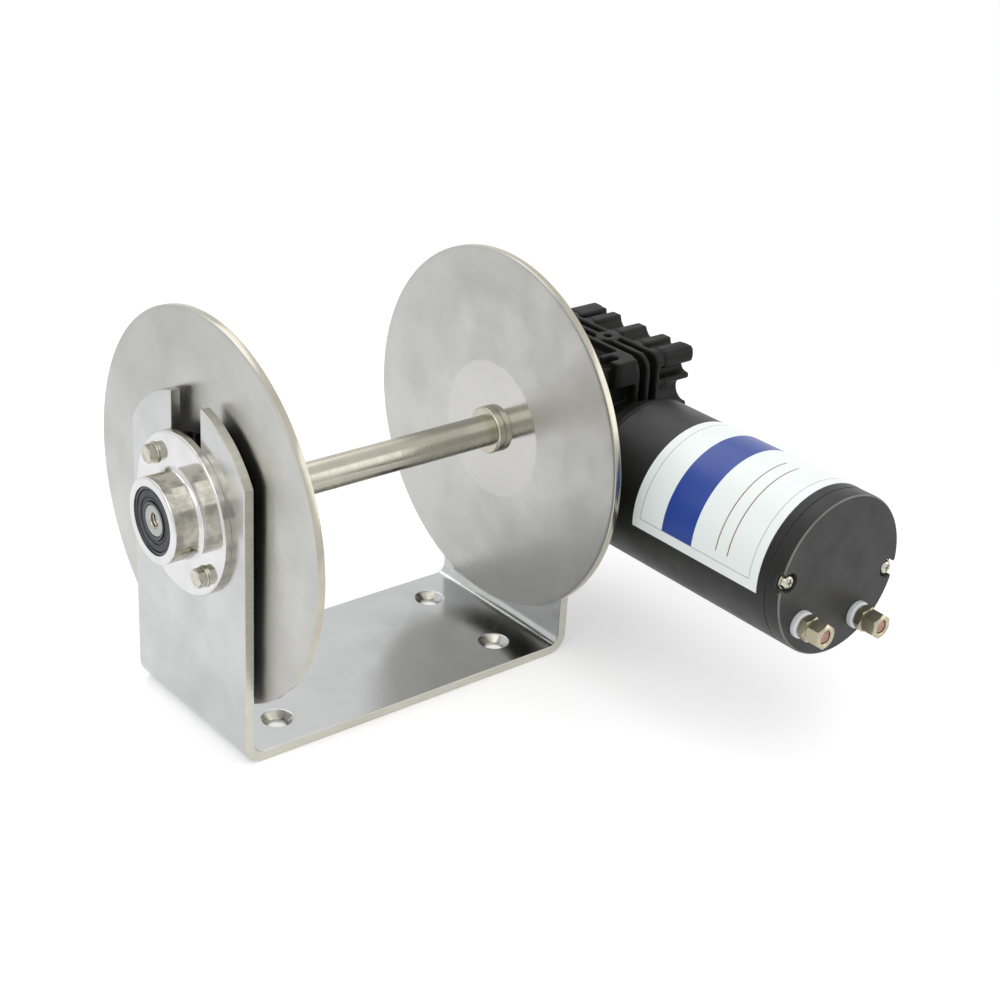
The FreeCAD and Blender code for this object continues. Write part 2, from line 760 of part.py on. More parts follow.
def make_spur_gear():
    """A gap of this gear faces up, and a tooth of the pinion hangs down into it."""
    turn = math.pi / 2 + math.pi / gear_teeth
    y0 = spur_y - spur_face_width
    gear = spur_solid(gear_teeth, y0, spur_y, worm_z, turn)
    gear = gear.cut(rod_y(worm_journal_diameter / 2 + weld_allowance, y0, spur_y, z=worm_z))
    return gear.cut(spur_gear_key(weld_allowance))


def pinion_seat(radius, y0, y1):
    """The round seat of the pinion with a flat on one side."""
    seat = rod_y(radius, y0, y1)
    flat_x = wheel_x + radius - pinion_flat_depth
    return seat.cut(box(flat_x, flat_x + radius, y0, y1, motor_z - radius, motor_z + radius))


def make_pinion():
    y0 = spur_y - spur_face_width
    solid = spur_solid(pinion_teeth, y0, spur_y, motor_z, -math.pi / 2)
    return solid.cut(pinion_seat(pinion_seat_diameter / 2 + weld_allowance, y0, spur_y))


# Gearbox
def bay_cutters(x0, x1):
    """Round-bottomed bays between the ribs, on all four sides of the ribbed end."""
    cuts = []
    for centre, width, share in top_bays:
        for sign, rib_end in ((-1, fin_half), (1, fin_top)):
            floor = case_half + share * (rib_end - case_half)
            z = axis_height + sign * (floor + width / 2)
            far = axis_height + sign * (fin_half + width)
            cuts.append(rod_x(width / 2, x0, x1, centre, z))
            cuts.append(box(x0, x1, centre - width / 2, centre + width / 2, min(z, far), max(z, far)))
    for centre, width, share in side_bays:
        floor = case_half + share * (fin_half - case_half)
        for sign in (-1, 1):
            y = sign * (floor + width / 2)
            far = sign * (fin_half + width)
            z = axis_height + centre
            cuts.append(rod_x(width / 2, x0, x1, y, z))
            cuts.append(box(x0, x1, min(y, far), max(y, far), z - width / 2, z + width / 2))
    return group(cuts)


def rib_tips(body):
    """The sharp edges along X where the bays meet the outline."""
    top = axis_height + fin_top
    bottom = axis_height - fin_half
    straight_y = fin_half - cover_corner_radius
    tips = []
    for edge in body.Edges:
        start, end = edge.Vertexes[0].Point, edge.Vertexes[-1].Point
        if abs(start.y - end.y) + abs(start.z - end.z) > edge_match:
            continue
        on_side = abs(abs(start.y) - fin_half) < edge_match
        on_end = min(abs(start.z - top), abs(start.z - bottom)) < edge_match
        at_corner = on_side and min(abs(start.z - top + cover_corner_radius),
                                    abs(start.z - bottom - cover_corner_radius)) < edge_match
        at_corner = at_corner or on_end and abs(abs(start.y) - straight_y) < edge_match
        if (on_side or on_end) and not at_corner:
            tips.append(edge)
    return tips


def ribbed_slab(x0, x1):
    """A plate across X with bays all round, and the tips of its ribs rounded."""
    body = slab_x(x0, x1, -fin_half, fin_half, axis_height - fin_half, axis_height + fin_top,
                  cover_corner_radius).cut(bay_cutters(x0, x1))
    rib_height = min(fin_half, fin_top) - case_half
    return body.makeFillet(rib_tip_share * rib_height, rib_tips(body))


def cover_screw_places():
    half_y = fin_half - cover_screw_inset
    half_z = min(fin_half, fin_top) - cover_screw_drop
    return [(sy * half_y, axis_height + sz * half_z) for sy in (-1, 1) for sz in (-1, 1)]


def make_lug(side):
    """A mounting lug at a top edge of the case. Its slot opens towards the cheek and ends at the roof."""
    x0 = cheek_x + lug_start
    x1 = x0 + lug_length
    outer = side * fin_half
    inner = side * (fin_half - lug_width)
    top = axis_height + fin_top
    corners = [(x0, outer, lug_corner_radius), (x1, outer, 0), (x1, inner, 0),
               (x0, inner, lug_corner_radius)]
    body = outline(corners, lambda x, y: Vector(x, y, top - lug_depth)).extrude(Vector(0, 0, lug_depth))
    y = side * (fin_half - lug_slot_offset)
    roof = axis_height + case_half
    end = x0 + lug_slot_length - lug_slot_width / 2
    slot = rod_z(lug_slot_width / 2, roof, top, end, y)
    slot = slot.fuse(box(x0, end, y - lug_slot_width / 2, y + lug_slot_width / 2, roof, top))
    return body, slot


def make_pad():
    """The round pad that the motor flange is screwed to. It passes in front of the cover with a gap."""
    back = -case_half + pad_depth
    pad = rod_y(pad_diameter / 2, pad_y, back)
    room = box(case_end_x, case_end_x + pad_diameter, -fin_half - pad_gap, back,
               axis_height - pad_diameter, axis_height + pad_diameter)
    return pad.cut(room)


def make_case():
    z_low = axis_height - case_half
    z_high = axis_height + case_half
    solids = [slab_x(cheek_x, case_end_x, -case_half, case_half, z_low, z_high,
                     case_corner_radius),
              slab_x(cheek_x, cheek_x + mounting_flange_thickness, -fin_half, fin_half,
                     axis_height - fin_half, axis_height + fin_top, fin_corner_radius),
              ribbed_slab(case_end_x - end_flange_thickness, case_end_x),
              rod_y(worm_tube_r, pad_y, worm_tube_end_y, z=worm_z),
              make_pad(),
              rod_x(slot_width / 2 - spigot_clearance, cheek_inner_x, cheek_x)]
    for index in range(fin_count):
        x0 = case_end_x - end_flange_thickness - index * fin_pitch
        solids.append(slab_x(x0, x0 + fin_thickness, -fin_half, fin_half, axis_height - fin_half,
                             axis_height + fin_top, fin_corner_radius))
    lugs = [make_lug(side) for side in (-1, 1)]
    solids += [lug for lug, slot in lugs]
    breather_x = case_end_x - end_flange_thickness - fin_pitch + fin_thickness
    breather_top = axis_height + fin_top + breather_boss_rise
    solids.append(rod_z(breather_boss_diameter / 2, axis_height, breather_top, breather_x,
                        breather_boss_y))
    seat_r = shaft_bearing["outside"] / 2
    worm_seat_r = worm_bearing["outside"] / 2
    front_end = worm_front_bearing_y + worm_bearing["width"]
    worm_clear_r = worm_pitch_r + worm_module + worm_chamber_clearance
    cuts = [rod_x(wheel_chamber_r, case_bearing_x + shaft_bearing["width"], case_end_x),
            rod_x(seat_r, case_bearing_x, case_end_x),
            rod_x(seal_outside_diameter / 2, seal_x, case_bearing_x - case_left_wall),
            rod_x(shaft_r + hub_bore_clearance, cheek_inner_x, case_bearing_x),
            rod_y(worm_clear_r, front_end, worm_rear_bearing_y, z=worm_z),
            rod_y(worm_seat_r, worm_front_bearing_y, front_end, z=worm_z),
            rod_y(worm_seat_r - bearing_lip, pad_y, worm_front_bearing_y, z=worm_z),
            rod_y(worm_seat_r, worm_rear_bearing_y, worm_tube_end_y, z=worm_z),
            rod_z(breather_hole_diameter / 2, axis_height + case_half + breather_hole_floor,
                  breather_top, breather_x, breather_boss_y)]
    cuts += [slot for lug, slot in lugs]
    cuts += [rod_x(mount_bolt["d"] / 2 + thread_allowance, cheek_x, cheek_x + mounting_flange_thickness,
                   y, z) for y, z in mount_bolt_places()]
    cuts += [rod_x(cover_screw["d"] / 2 + thread_allowance, cover_thread_x, case_end_x, y, z)
             for y, z in cover_screw_places()]
    hole_end = pad_y + flange_screw_grip + screw_hole_room
    cuts += [rod_y(flange_screw["d"] / 2 + thread_allowance, pad_y, hole_end, x, z)
             for x, z in flange_screw_places()]
    return join(solids).cut(group(cuts))


def make_cover():
    """Corner bosses stand out past the ribs, and the screws' heads are sunk in them."""
    half = cover_boss_size / 2
    boss_end = cover_end_x + cover_boss_rise
    bosses = [slab_x(cover_x, boss_end, y - half, y + half, z - half, z + half, cover_boss_radius)
              for y, z in cover_screw_places()]
    body = join([ribbed_slab(cover_x, cover_end_x)] + bosses)
    seat_r = shaft_bearing["outside"] / 2
    pocket = ring(wheel_chamber_r - cover_pocket_wall, seat_r + cover_seat_wall,
                  cover_length - cover_floor, Vector(cover_x, 0, axis_height), Vector(1, 0, 0))
    cuts = [pocket, rod_x(seat_r, cover_x, shaft_clip_x),
            rod_x(clip_diameter / 2 + clip_room, shaft_clip_x, shaft_end_x + shaft_end_clearance / 2)]
    for y, z in cover_screw_places():
        cuts.append(rod_x(cover_screw["d"] / 2 + thread_allowance, cover_x, boss_end, y, z))
        cuts.append(rod_x(cover_screw["flats"] / 2 + counterbore_room, cover_seat_x, boss_end, y, z))
    return body.cut(group(cuts))


def make_gasket():
    body = ribbed_slab(case_end_x, cover_x)
    cuts = [rod_x(wheel_chamber_r, case_end_x, cover_x)]
    cuts += [rod_x(cover_screw["d"] / 2 + gasket_hole_room, case_end_x, cover_x, y, z)
             for y, z in cover_screw_places()]
    return body.cut(group(cuts))


def cap_screw(size, length, place, direction):
    """A socket head cap screw whose head stands on place."""
    head = Part.makeCylinder(size["flats"] / 2, size["head"], place, direction)
    half = size["head"] / 2
    socket = hexagon(size["d"] * socket_share, half, place + direction * half, direction)
    shank = Part.makeCylinder(size["d"] / 2, length, place, direction * -1)
    return head.cut(socket).fuse(shank)


def make_cover_screws():
    length = cover_seat_x - cover_thread_x - screw_tip_room
    return group(cap_screw(cover_screw, length, Vector(cover_seat_x, y, z), Vector(1, 0, 0))
                 for y, z in cover_screw_places())


def make_mount_bolts():
    face = cheek_inner_x - mount_bolt["washer_thick"]
    length = mount_bolt["washer_thick"] + plate_thickness + mounting_flange_thickness - mount_bolt_floor
    return group(hexagon_bolt(mount_bolt, length, Vector(face, y, z), Vector(-1, 0, 0))
                 for y, z in mount_bolt_places())


def make_mount_washers():
    return group(ring(mount_bolt["washer"] / 2, mount_bolt["d"] / 2 + thread_allowance,
                      mount_bolt["washer_thick"], Vector(cheek_inner_x, y, z), Vector(-1, 0, 0))
                 for y, z in mount_bolt_places())


def make_output_seal():
    outer_r = seal_outside_diameter / 2
    lip_r = shaft_r + seal_gap
    end = seal_x + seal_width
    inner_x = seal_x + seal_wall
    return turned_x([(seal_x, outer_r), (seal_x, lip_r + seal_wall), (seal_x + seal_lip_start, lip_r),
                     (seal_x + seal_lip_end, lip_r), (inner_x + seal_wall, lip_r + seal_lip_rise),
                     (inner_x, lip_r + 2 * seal_wall), (inner_x, outer_r - seal_wall),
                     (end, outer_r - seal_wall), (end, outer_r)])


def make_spacers():
    """Sleeves that hold the worm wheel between the inner rings of the output bearings."""
    outer_r = journal_r + spacer_wall
    bore = journal_r + weld_allowance
    left = (case_bearing_x + shaft_bearing["width"], wheel_x - wheel_half_hub)
    right = (wheel_x + wheel_half_hub, cover_bearing_x)
    return group(ring(outer_r, bore, end - start, Vector(start, 0, axis_height), Vector(1, 0, 0))
                 for start, end in (left, right))


def make_shaft_clip():
    bore = journal_r - clip_groove_depth + weld_allowance
    clip = ring(clip_diameter / 2, bore, clip_thickness, Vector(shaft_clip_x, 0, axis_height),
                Vector(1, 0, 0))
    gap = box(shaft_clip_x, shaft_clip_x + clip_thickness, -clip_gap / 2, clip_gap / 2, axis_height,
              axis_height + clip_diameter)
    return clip.cut(gap)


def make_worm_end_cap():
    y0 = worm_tube_end_y - worm_end_cap_thickness
    return rod_y(worm_bearing["outside"] / 2 - weld_allowance, y0, worm_tube_end_y, z=worm_z)


# Motor
def around_motor(radius, angle):
    """(x, z) of a point around the motor's axis, the angle in degrees from +X towards +Z."""
    return (wheel_x + radius * math.cos(math.radians(angle)),
            motor_z + radius * math.sin(math.radians(angle)))


def flange_screw_places():
    return [around_motor(pad_diameter / 2 - flange_screw_inset, angle) for angle in flange_screw_angles]


def through_bolt_places():
    return [around_motor(through_bolt_radius, cap_turn + turn) for turn in (0, 180)]


def terminal_places():
    """The two studs, in the turned frame of the end cap."""
    turn = math.radians(cap_turn)
    places = []
    for side in (-1, 1):
        x = side * terminal_x
        places.append((wheel_x + x * math.cos(turn) - terminal_z * math.sin(turn),
                       motor_z + x * math.sin(turn) + terminal_z * math.cos(turn)))
    return places


def make_motor_flange():
    neck_r = motor_neck_diameter / 2
    shoulder_y = pad_y - motor_neck_length
    spigot_r = tube_inner_r - spigot_room
    spigot_end = tube_y - spigot_length
    boss_end = drive_bush_y - bush_length
    boss_r = bush_boss_diameter / 2
    body = turned_y([(pad_y, 0), (pad_y, neck_r), (shoulder_y + flange_bevel, neck_r),
                     (shoulder_y, motor_r - flange_bevel), (shoulder_y - flange_bevel, motor_r),
                     (tube_y, motor_r), (tube_y, spigot_r), (spigot_end, spigot_r),
                     (spigot_end, boss_r + bush_boss_foot), (spigot_end - bush_boss_foot / 2, boss_r),
                     (boss_end, boss_r), (boss_end, 0)])
    gear_r = spur_module * (gear_teeth + 2) / 2 + gear_chamber_clearance
    pinion_r = spur_module * (pinion_teeth + 2) / 2 + gear_chamber_clearance
    cuts = [rod_y(gear_r, gear_chamber_y, pad_y, z=worm_z), rod_y(pinion_r, gear_chamber_y, pad_y),
            rod_y(armature_shaft_diameter / 2 + shaft_hole_room, drive_bush_y, gear_chamber_y),
            rod_y(bush_diameter / 2, boss_end, drive_bush_y)]
    bolt_end = tube_y + through_bolt_grip + screw_hole_room
    cuts += [rod_y(through_bolt["d"] / 2 + thread_allowance, spigot_end, bolt_end, x, z)
             for x, z in through_bolt_places()]
    for x, z in flange_screw_places():
        cuts.append(rod_y(flange_screw["d"] / 2 + thread_allowance, spigot_end, pad_y, x, z))
        cuts.append(rod_y(flange_screw["flats"] / 2 + flange_screw_room, spigot_end,
                          pad_y - flange_screw_seat, x, z))
    return body.cut(group(cuts))


def make_flange_screws():
    length = flange_screw_seat + flange_screw_grip
    return group(cap_screw(flange_screw, length, Vector(x, pad_y - flange_screw_seat, z), Vector(0, -1, 0))
                 for x, z in flange_screw_places())


def make_motor_tube():
    return rod_y(motor_r, tube_end_y, tube_y).cut(rod_y(tube_inner_r, tube_end_y, tube_y))


def sector(radius, y0, y1, middle_angle, spread):
    """A pie piece along Y around the motor's axis."""
    points = [Vector(wheel_x, y0, motor_z)]
    for step in (-0.5, 0.0, 0.5):
        x, z = around_motor(radius, middle_angle + spread * step)
        points.append(Vector(x, y0, z))
    arc = Part.Arc(points[1], points[2], points[3]).toShape()
    wire = Part.Wire([Part.makeLine(points[0], points[1]), arc, Part.makeLine(points[3], points[0])])
    return Part.Face(wire).extrude(Vector(0, y1 - y0, 0))


def make_magnets():
    middle = (core_y + core_end_y) / 2
    y0 = middle - magnet_length / 2
    y1 = middle + magnet_length / 2
    outer_r = tube_inner_r - weld_allowance
    hollow = rod_y(outer_r - magnet_thickness, y0, y1)
    return group(sector(outer_r, y0, y1, cap_turn + turn, magnet_angle).cut(hollow)
                 for turn in (90, 270))


def make_armature_shaft():
    radius = armature_shaft_diameter / 2
    body = rod_y(radius, armature_end_y, spur_y - spur_face_width)
    return body.fuse(pinion_seat(pinion_seat_diameter / 2, spur_y - spur_face_width,
                                 spur_y + pinion_seat_end))


def slot_bars(width, depth, radius, y0, y1):
    """Bars that lie in the core's slots."""
    bars = []
    for index in range(core_slots):
        bar = box(wheel_x + radius - depth, wheel_x + radius, y0, y1, motor_z - width / 2,
                  motor_z + width / 2)
        bar.rotate(Vector(wheel_x, 0, motor_z), Vector(0, 1, 0), 360.0 * index / core_slots)
        bars.append(bar)
    return bars


def make_armature_core():
    radius = core_diameter / 2
    body = rod_y(radius, core_end_y, core_y)
    body = body.cut(rod_y(armature_shaft_diameter / 2 + weld_allowance, core_end_y, core_y))
    slots = slot_bars(core_slot_width, core_slot_depth, radius + cut_over, core_end_y, core_y)
    return body.cut(group(slots))


def make_windings():
    outer_r = winding_diameter / 2
    inner_r = winding_inner_diameter / 2
    ends = []
    for y0 in (core_y, core_end_y - winding_overhang):
        y1 = y0 + winding_overhang
        bevel = winding_bevel
        ends.append(turned_y([(y0, inner_r), (y0, outer_r - bevel), (y0 + bevel, outer_r),
                              (y1 - bevel, outer_r), (y1, outer_r - bevel), (y1, inner_r)]))
    bars = slot_bars(winding_bar_width, winding_bar_depth, core_diameter / 2 - winding_bar_inset,
                     core_end_y, core_y)
    return join(ends + bars)


def make_commutator():
    bore = armature_shaft_diameter / 2 + weld_allowance
    radius = commutator_diameter / 2
    riser = core_end_y - winding_overhang
    riser_r = radius + commutator_riser
    return turned_y([(commutator_end_y, bore), (commutator_end_y, radius), (commutator_y, radius),
                     (commutator_y, riser_r), (riser, riser_r), (riser, bore)])


def bush(y0, length):
    outer_r = bush_diameter / 2 - weld_allowance
    return rod_y(outer_r, y0, y0 + length).cut(
        rod_y(armature_shaft_diameter / 2 + running_clearance, y0, y0 + length))


def make_end_cap():
    chamfer = cap_edge_chamfer
    rim_r = tube_inner_r - spigot_room
    body = turned_y([(cap_face_y, 0), (cap_face_y, motor_r - chamfer), (cap_face_y + chamfer, motor_r),
                     (tube_end_y, motor_r), (tube_end_y, rim_r), (cap_rim_y, rim_r),
                     (cap_rim_y, rim_r - end_cap_rim_wall), (tube_end_y, rim_r - end_cap_rim_wall),
                     (tube_end_y, 0)])
    cuts = [rod_y(bush_diameter / 2, tube_end_y - cap_bush_length, tube_end_y)]
    for x, z in through_bolt_places():
        cuts.append(rod_y(through_bolt["d"] / 2 + bolt_hole_room, cap_face_y, cap_rim_y, x, z))
        for share in (1.0, bolt_notch_reach):
            notch_x = wheel_x + (x - wheel_x) * share
            notch_z = motor_z + (z - motor_z) * share
            cuts.append(rod_y(bolt_notch_diameter / 2, cap_face_y, cap_face_y + bolt_notch_depth,
                              notch_x, notch_z))
    cuts += [rod_y(terminal_sleeve_diameter / 2, cap_face_y, tube_end_y, x, z)
             for x, z in terminal_places()]
    return body.cut(group(cuts))


def make_brush_plate():
    y0 = cap_rim_y
    y1 = y0 + brush_plate_thickness
    body = rod_y(tube_inner_r - brush_plate_room, y0, y1)
    body = body.cut(rod_y(commutator_diameter / 2 + brush_plate_hole_room, y0, y1))
    cuts = [rod_y(through_bolt["d"] / 2 + bolt_hole_room, y0, y1, x, z) for x, z in through_bolt_places()]
    return body.cut(group(cuts))


def at_cap_angle(shape, angle):
    shape.rotate(Vector(wheel_x, 0, motor_z), Vector(0, -1, 0), angle)
    return shape


def brush_block(grow, start_r, end_r, y_grow):
    """A block on the +X side of the commutator, along a radius."""
    half_y = brush_width / 2 + y_grow
    half_z = brush_thickness / 2 + grow
    return box(wheel_x + start_r, wheel_x + end_r, brush_y - half_y, brush_y + half_y,
               motor_z - half_z, motor_z + half_z)


def brush_start():
    return commutator_diameter / 2 + brush_gap


def brush_angles():
    return [cap_turn + brush_angle, cap_turn + brush_angle + 180]


def make_brushes():
    start = brush_start()
    brushes = []
    for angle in brush_angles():
        block = brush_block(0.0, start - brush_hollow, start + brush_length, 0.0)
        block = block.cut(rod_y(start, brush_y - brush_width, brush_y + brush_width))
        brushes.append(at_cap_angle(block, angle))
    return group(brushes)


def make_brush_holders():
    """Square tubes that guide the brushes, standing on the brush plate."""
    start = brush_start() + holder_start
    end = brush_start() + brush_length + holder_tail
    plate_y = cap_rim_y + brush_plate_thickness
    holders = []
    for angle in brush_angles():
        outer = brush_block(holder_clearance + holder_wall, start, end, holder_clearance + holder_wall)
        foot_half = brush_thickness / 2 + holder_clearance + holder_wall
        foot = box(wheel_x + start + holder_foot_inset, wheel_x + end, plate_y, brush_y,
                   motor_z - foot_half, motor_z + foot_half)
        inner = brush_block(holder_clearance, start, end, holder_clearance)
        holders.append(at_cap_angle(outer.fuse(foot).cut(inner), angle))
    return group(holders)


def make_brush_springs():
    """A leaf that bears on the back of each brush, held in the end of the holder."""
    back = brush_start() + brush_length
    end = back + holder_tail
    half_y = brush_width / 2 + holder_clearance
    half_z = brush_thickness / 2 - spring_side_room
    springs = []
    for angle in brush_angles():
        rest = box(wheel_x + back, wheel_x + back + spring_thickness,
                   brush_y - half_y + spring_end_room, brush_y + half_y, motor_z - half_z,
                   motor_z + half_z)
        leg = box(wheel_x + back, wheel_x + end, brush_y + half_y - spring_thickness,
                  brush_y + half_y, motor_z - half_z, motor_z + half_z)
        springs.append(at_cap_angle(rest.fuse(leg), angle))
    return group(springs)


def make_through_bolts():
    washer = through_bolt["washer_thick"]
    head_face = cap_face_y + bolt_notch_depth - washer
    bolts = []
    for x, z in through_bolt_places():
        head_r = through_bolt["head_d"] / 2
        dome = [(head_face - rise, head_r - inset) for rise, inset in pan_head]
        head = turned_y([(head_face, 0), (head_face, head_r)] + dome + [(dome[-1][0], 0)], x, z)
        shank = rod_y(through_bolt["d"] / 2, head_face, tube_y + through_bolt_grip, x, z)
        bolts.append(head.fuse(shank))
    return group(bolts)


def make_through_bolt_washers():
    face = cap_face_y + bolt_notch_depth
    return group(ring(through_bolt["washer"] / 2, through_bolt["d"] / 2 + thread_allowance,
                      through_bolt["washer_thick"], Vector(x, face, z), Vector(0, -1, 0))
                 for x, z in through_bolt_places())


# Terminals
def make_terminal_studs():
    tip = cap_face_y - terminal_bush_thickness - terminal["inner_nut"] - terminal["outer_nut"]
    tip += terminal_recess
    studs = []
    for x, z in terminal_places():
        shank = rod_y(terminal["d"] / 2, tip, tube_end_y, x, z)
        head = hexagon(terminal["head_flats"], terminal_head_thickness, Vector(x, tube_end_y, z),
                       Vector(0, 1, 0))
        studs.append(shank.fuse(head))
    return group(studs)


def make_terminal_bushes():
    bore = terminal["d"] / 2 + weld_allowance
    face = cap_face_y - terminal_bush_thickness
    outer_r = terminal_bush_diameter / 2
    sleeve_r = terminal_sleeve_diameter / 2 - weld_allowance
    chamfer = terminal_bush_chamfer
    return group(turned_y([(face, bore), (face, outer_r - chamfer), (face + chamfer, outer_r),
                           (cap_face_y, outer_r), (cap_face_y, sleeve_r), (tube_end_y, sleeve_r),
                           (tube_end_y, bore)], x, z) for x, z in terminal_places())


def make_terminal_nuts():
    bore = terminal["d"] / 2 + thread_allowance
    nuts = []
    for x, z in terminal_places():
        face = cap_face_y - terminal_bush_thickness
        for height, turn in zip((terminal["inner_nut"], terminal["outer_nut"]), terminal_nut_turns):
            nut = hexagon(terminal["flats"], height, Vector(x, face, z), Vector(0, -1, 0), turn)
            nuts.append(nut.cut(rod_y(bore, face - height, face, x, z)))
            face -= height
    return group(nuts)


def make_label():
    y1 = tube_y - label_start
    y0 = y1 - label_length
    middle = (label_low_angle + label_high_angle) / 2
    spread = label_low_angle - label_high_angle
    inner_r = motor_r + weld_allowance
    return sector(inner_r + label_thickness, y0, y1, middle, spread).cut(rod_y(inner_r, y0, y1))


def make_nodes():
    nodes = {"frame": make_frame(), "hub": make_hub(), "hub_bolts": make_hub_bolts(),
             "hub_washers": make_hub_washers()}
    nodes.update(make_bearing_nodes())
    nodes["drum_shaft"] = make_shaft()
    nodes["left_disc"] = make_disc(left_disc_x)
    nodes["right_disc"] = make_disc(right_disc_x)
    left_face = left_disc_x + disc_thickness
    nodes["left_collar"] = make_collar(left_face, left_face + collar_length, 1)
    nodes["right_collar"] = make_collar(right_disc_x - collar_length, right_disc_x, -1)
    nodes["worm_wheel"] = make_worm_wheel()
    nodes["wheel_key"] = key_box(0.0)
    nodes["wheel_spacers"] = make_spacers()
    nodes["shaft_clip"] = make_shaft_clip()
    nodes["worm_shaft"] = make_worm_shaft().cut(spur_gear_key(0.0))
    nodes["spur_gear"] = make_spur_gear()
    nodes["spur_gear_key"] = spur_gear_key(0.0)
    nodes["pinion"] = make_pinion()
    nodes["gearbox_case"] = make_case()
    nodes["gearbox_cover"] = make_cover()
    nodes["cover_gasket"] = make_gasket()
    nodes["cover_screws"] = make_cover_screws()
    nodes["mounting_bolts"] = make_mount_bolts()
    nodes["mounting_washers"] = make_mount_washers()
    nodes["output_seal"] = make_output_seal()
    nodes["worm_end_cap"] = make_worm_end_cap()
    nodes["motor_flange"] = make_motor_flange()
    nodes["motor_flange_screws"] = make_flange_screws()
    nodes["motor_tube"] = make_motor_tube()
    nodes["field_magnets"] = make_magnets()
    nodes["armature_shaft"] = make_armature_shaft()
    nodes["armature_core"] = make_armature_core()
    nodes["armature_windings"] = make_windings()
    nodes["commutator"] = make_commutator()
    nodes["drive_end_bush"] = bush(drive_bush_y - bush_length, bush_length)
    nodes["cap_bush"] = bush(tube_end_y - cap_bush_length, cap_bush_length)
    nodes["end_cap"] = make_end_cap()
    nodes["brush_plate"] = make_brush_plate()
    nodes["brush_holders"] = make_brush_holders()
    nodes["brushes"] = make_brushes()
    nodes["brush_springs"] = make_brush_springs()
    nodes["through_bolts"] = make_through_bolts()
    nodes["through_bolt_washers"] = make_through_bolt_washers()
    nodes["terminal_studs"] = make_terminal_studs()
    nodes["terminal_bushes"] = make_terminal_bushes()
    nodes["terminal_nuts"] = make_terminal_nuts()
    nodes["motor_label"] = make_label()
    return nodes


def main():
    os.makedirs("parts", exist_ok=True)
    for name, shape in make_nodes().items():
        print(name, len(shape.Solids), round(shape.Volume, 1), shape.isValid())
        shape.exportStep(os.path.join("parts", name + ".step"))


if __name__ == "__main__":
    main()
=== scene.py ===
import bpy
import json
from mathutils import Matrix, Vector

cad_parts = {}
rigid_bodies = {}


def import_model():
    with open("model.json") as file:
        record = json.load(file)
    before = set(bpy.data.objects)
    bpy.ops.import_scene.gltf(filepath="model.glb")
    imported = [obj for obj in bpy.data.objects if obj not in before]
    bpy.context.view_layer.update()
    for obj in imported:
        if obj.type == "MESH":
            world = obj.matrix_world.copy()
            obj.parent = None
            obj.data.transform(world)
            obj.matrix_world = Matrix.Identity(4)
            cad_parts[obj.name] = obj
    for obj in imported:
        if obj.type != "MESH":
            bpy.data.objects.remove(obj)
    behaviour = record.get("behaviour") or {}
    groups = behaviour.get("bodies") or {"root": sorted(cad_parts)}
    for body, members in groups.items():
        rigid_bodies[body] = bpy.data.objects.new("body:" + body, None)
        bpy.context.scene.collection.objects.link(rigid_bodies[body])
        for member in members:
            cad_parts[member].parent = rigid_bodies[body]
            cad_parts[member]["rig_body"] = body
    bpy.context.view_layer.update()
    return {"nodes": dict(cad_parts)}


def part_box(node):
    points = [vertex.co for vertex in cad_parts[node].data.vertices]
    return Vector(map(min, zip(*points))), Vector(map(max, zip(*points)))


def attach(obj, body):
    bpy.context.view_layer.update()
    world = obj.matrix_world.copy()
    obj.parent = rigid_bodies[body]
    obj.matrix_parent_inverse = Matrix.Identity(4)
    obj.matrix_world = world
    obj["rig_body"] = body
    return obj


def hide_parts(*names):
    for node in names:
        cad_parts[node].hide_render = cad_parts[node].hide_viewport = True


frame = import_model()

import json
import math

import bmesh
import bpy
from bpy.props import FloatProperty, FloatVectorProperty, IntProperty, PointerProperty
from mathutils import Matrix, Vector

bl_info = {
    "name": "Anchor winch",
    "version": (1, 0, 0),
    "blender": (4, 5, 0),
    "location": "3D View > Sidebar > Winch",
    "description": "Builds the visible surfaces, the finishes and the studio of an electric anchor winch",
    "category": "Object",
}

# Points round a disc or collar, and round a bolt, nut or washer
LATHE_STEPS = 192
HEAD_STEPS = 48

# Points closer than this, in metres, are one point; faces that lean less than the flat angle are one
# face; edges sharper than the edge angle are rounded; the share of a casting's faces that is kept
MERGE_DISTANCE = 1e-6
SMOOTH_ANGLE = math.radians(28)
FLAT_ANGLE = math.radians(0.4)
EDGE_ANGLE = math.radians(35)
EDGE_STEPS = 2
KEPT_SHARE = 0.3

# Screws and bolts, in metres
HUB_BOLT_RADIUS = 0.0025
MOUNT_BOLT_RADIUS = 0.003
CAP_SCREW_RADIUS = 0.002
CAP_HEAD_RADIUS = 0.0035
BORE_GAP = 0.0001
NUT_GAP = 0.00005
TIP_CHAMFER = 0.0004
SOCKET_SHARE = 0.75

# Threads, in metres
HOLE_CORE = 0.0034
HOLE_DEPTH = 0.012
HOLE_MOUTH = 0.0012
STUD_TIP = 0.0008

# Outline of a seal's face, in metres: how far behind the face, and how far out from its lip or in
# from its rim
LIP_WIDTH = 0.0011
SEAL_LIP = [(0.0005, 0.0), (0.0002, 0.0006), (0.0002, 0.0012), (0.0006, 0.0014), (0.0006, 0.0019),
            (0.0, 0.0021)]
SEAL_RIM = [(0.0, 0.0007), (0.0004, 0.0002), (0.0006, 0.0)]

# Steps round the curve of the label
LABEL_STEPS = 90

# Place and side of each lamp, in metres, and the point that they all look at
LAMPS = {"key": ((-1.6, -1.0, 2.3), 2.4), "fill": ((2.2, -1.8, 1.2), 2.0), "top": ((0.4, 1.2, 2.4), 2.0)}
LAMP_TARGET = (0.03, -0.02, 0.10)
SENSOR_WIDTH = 36.0


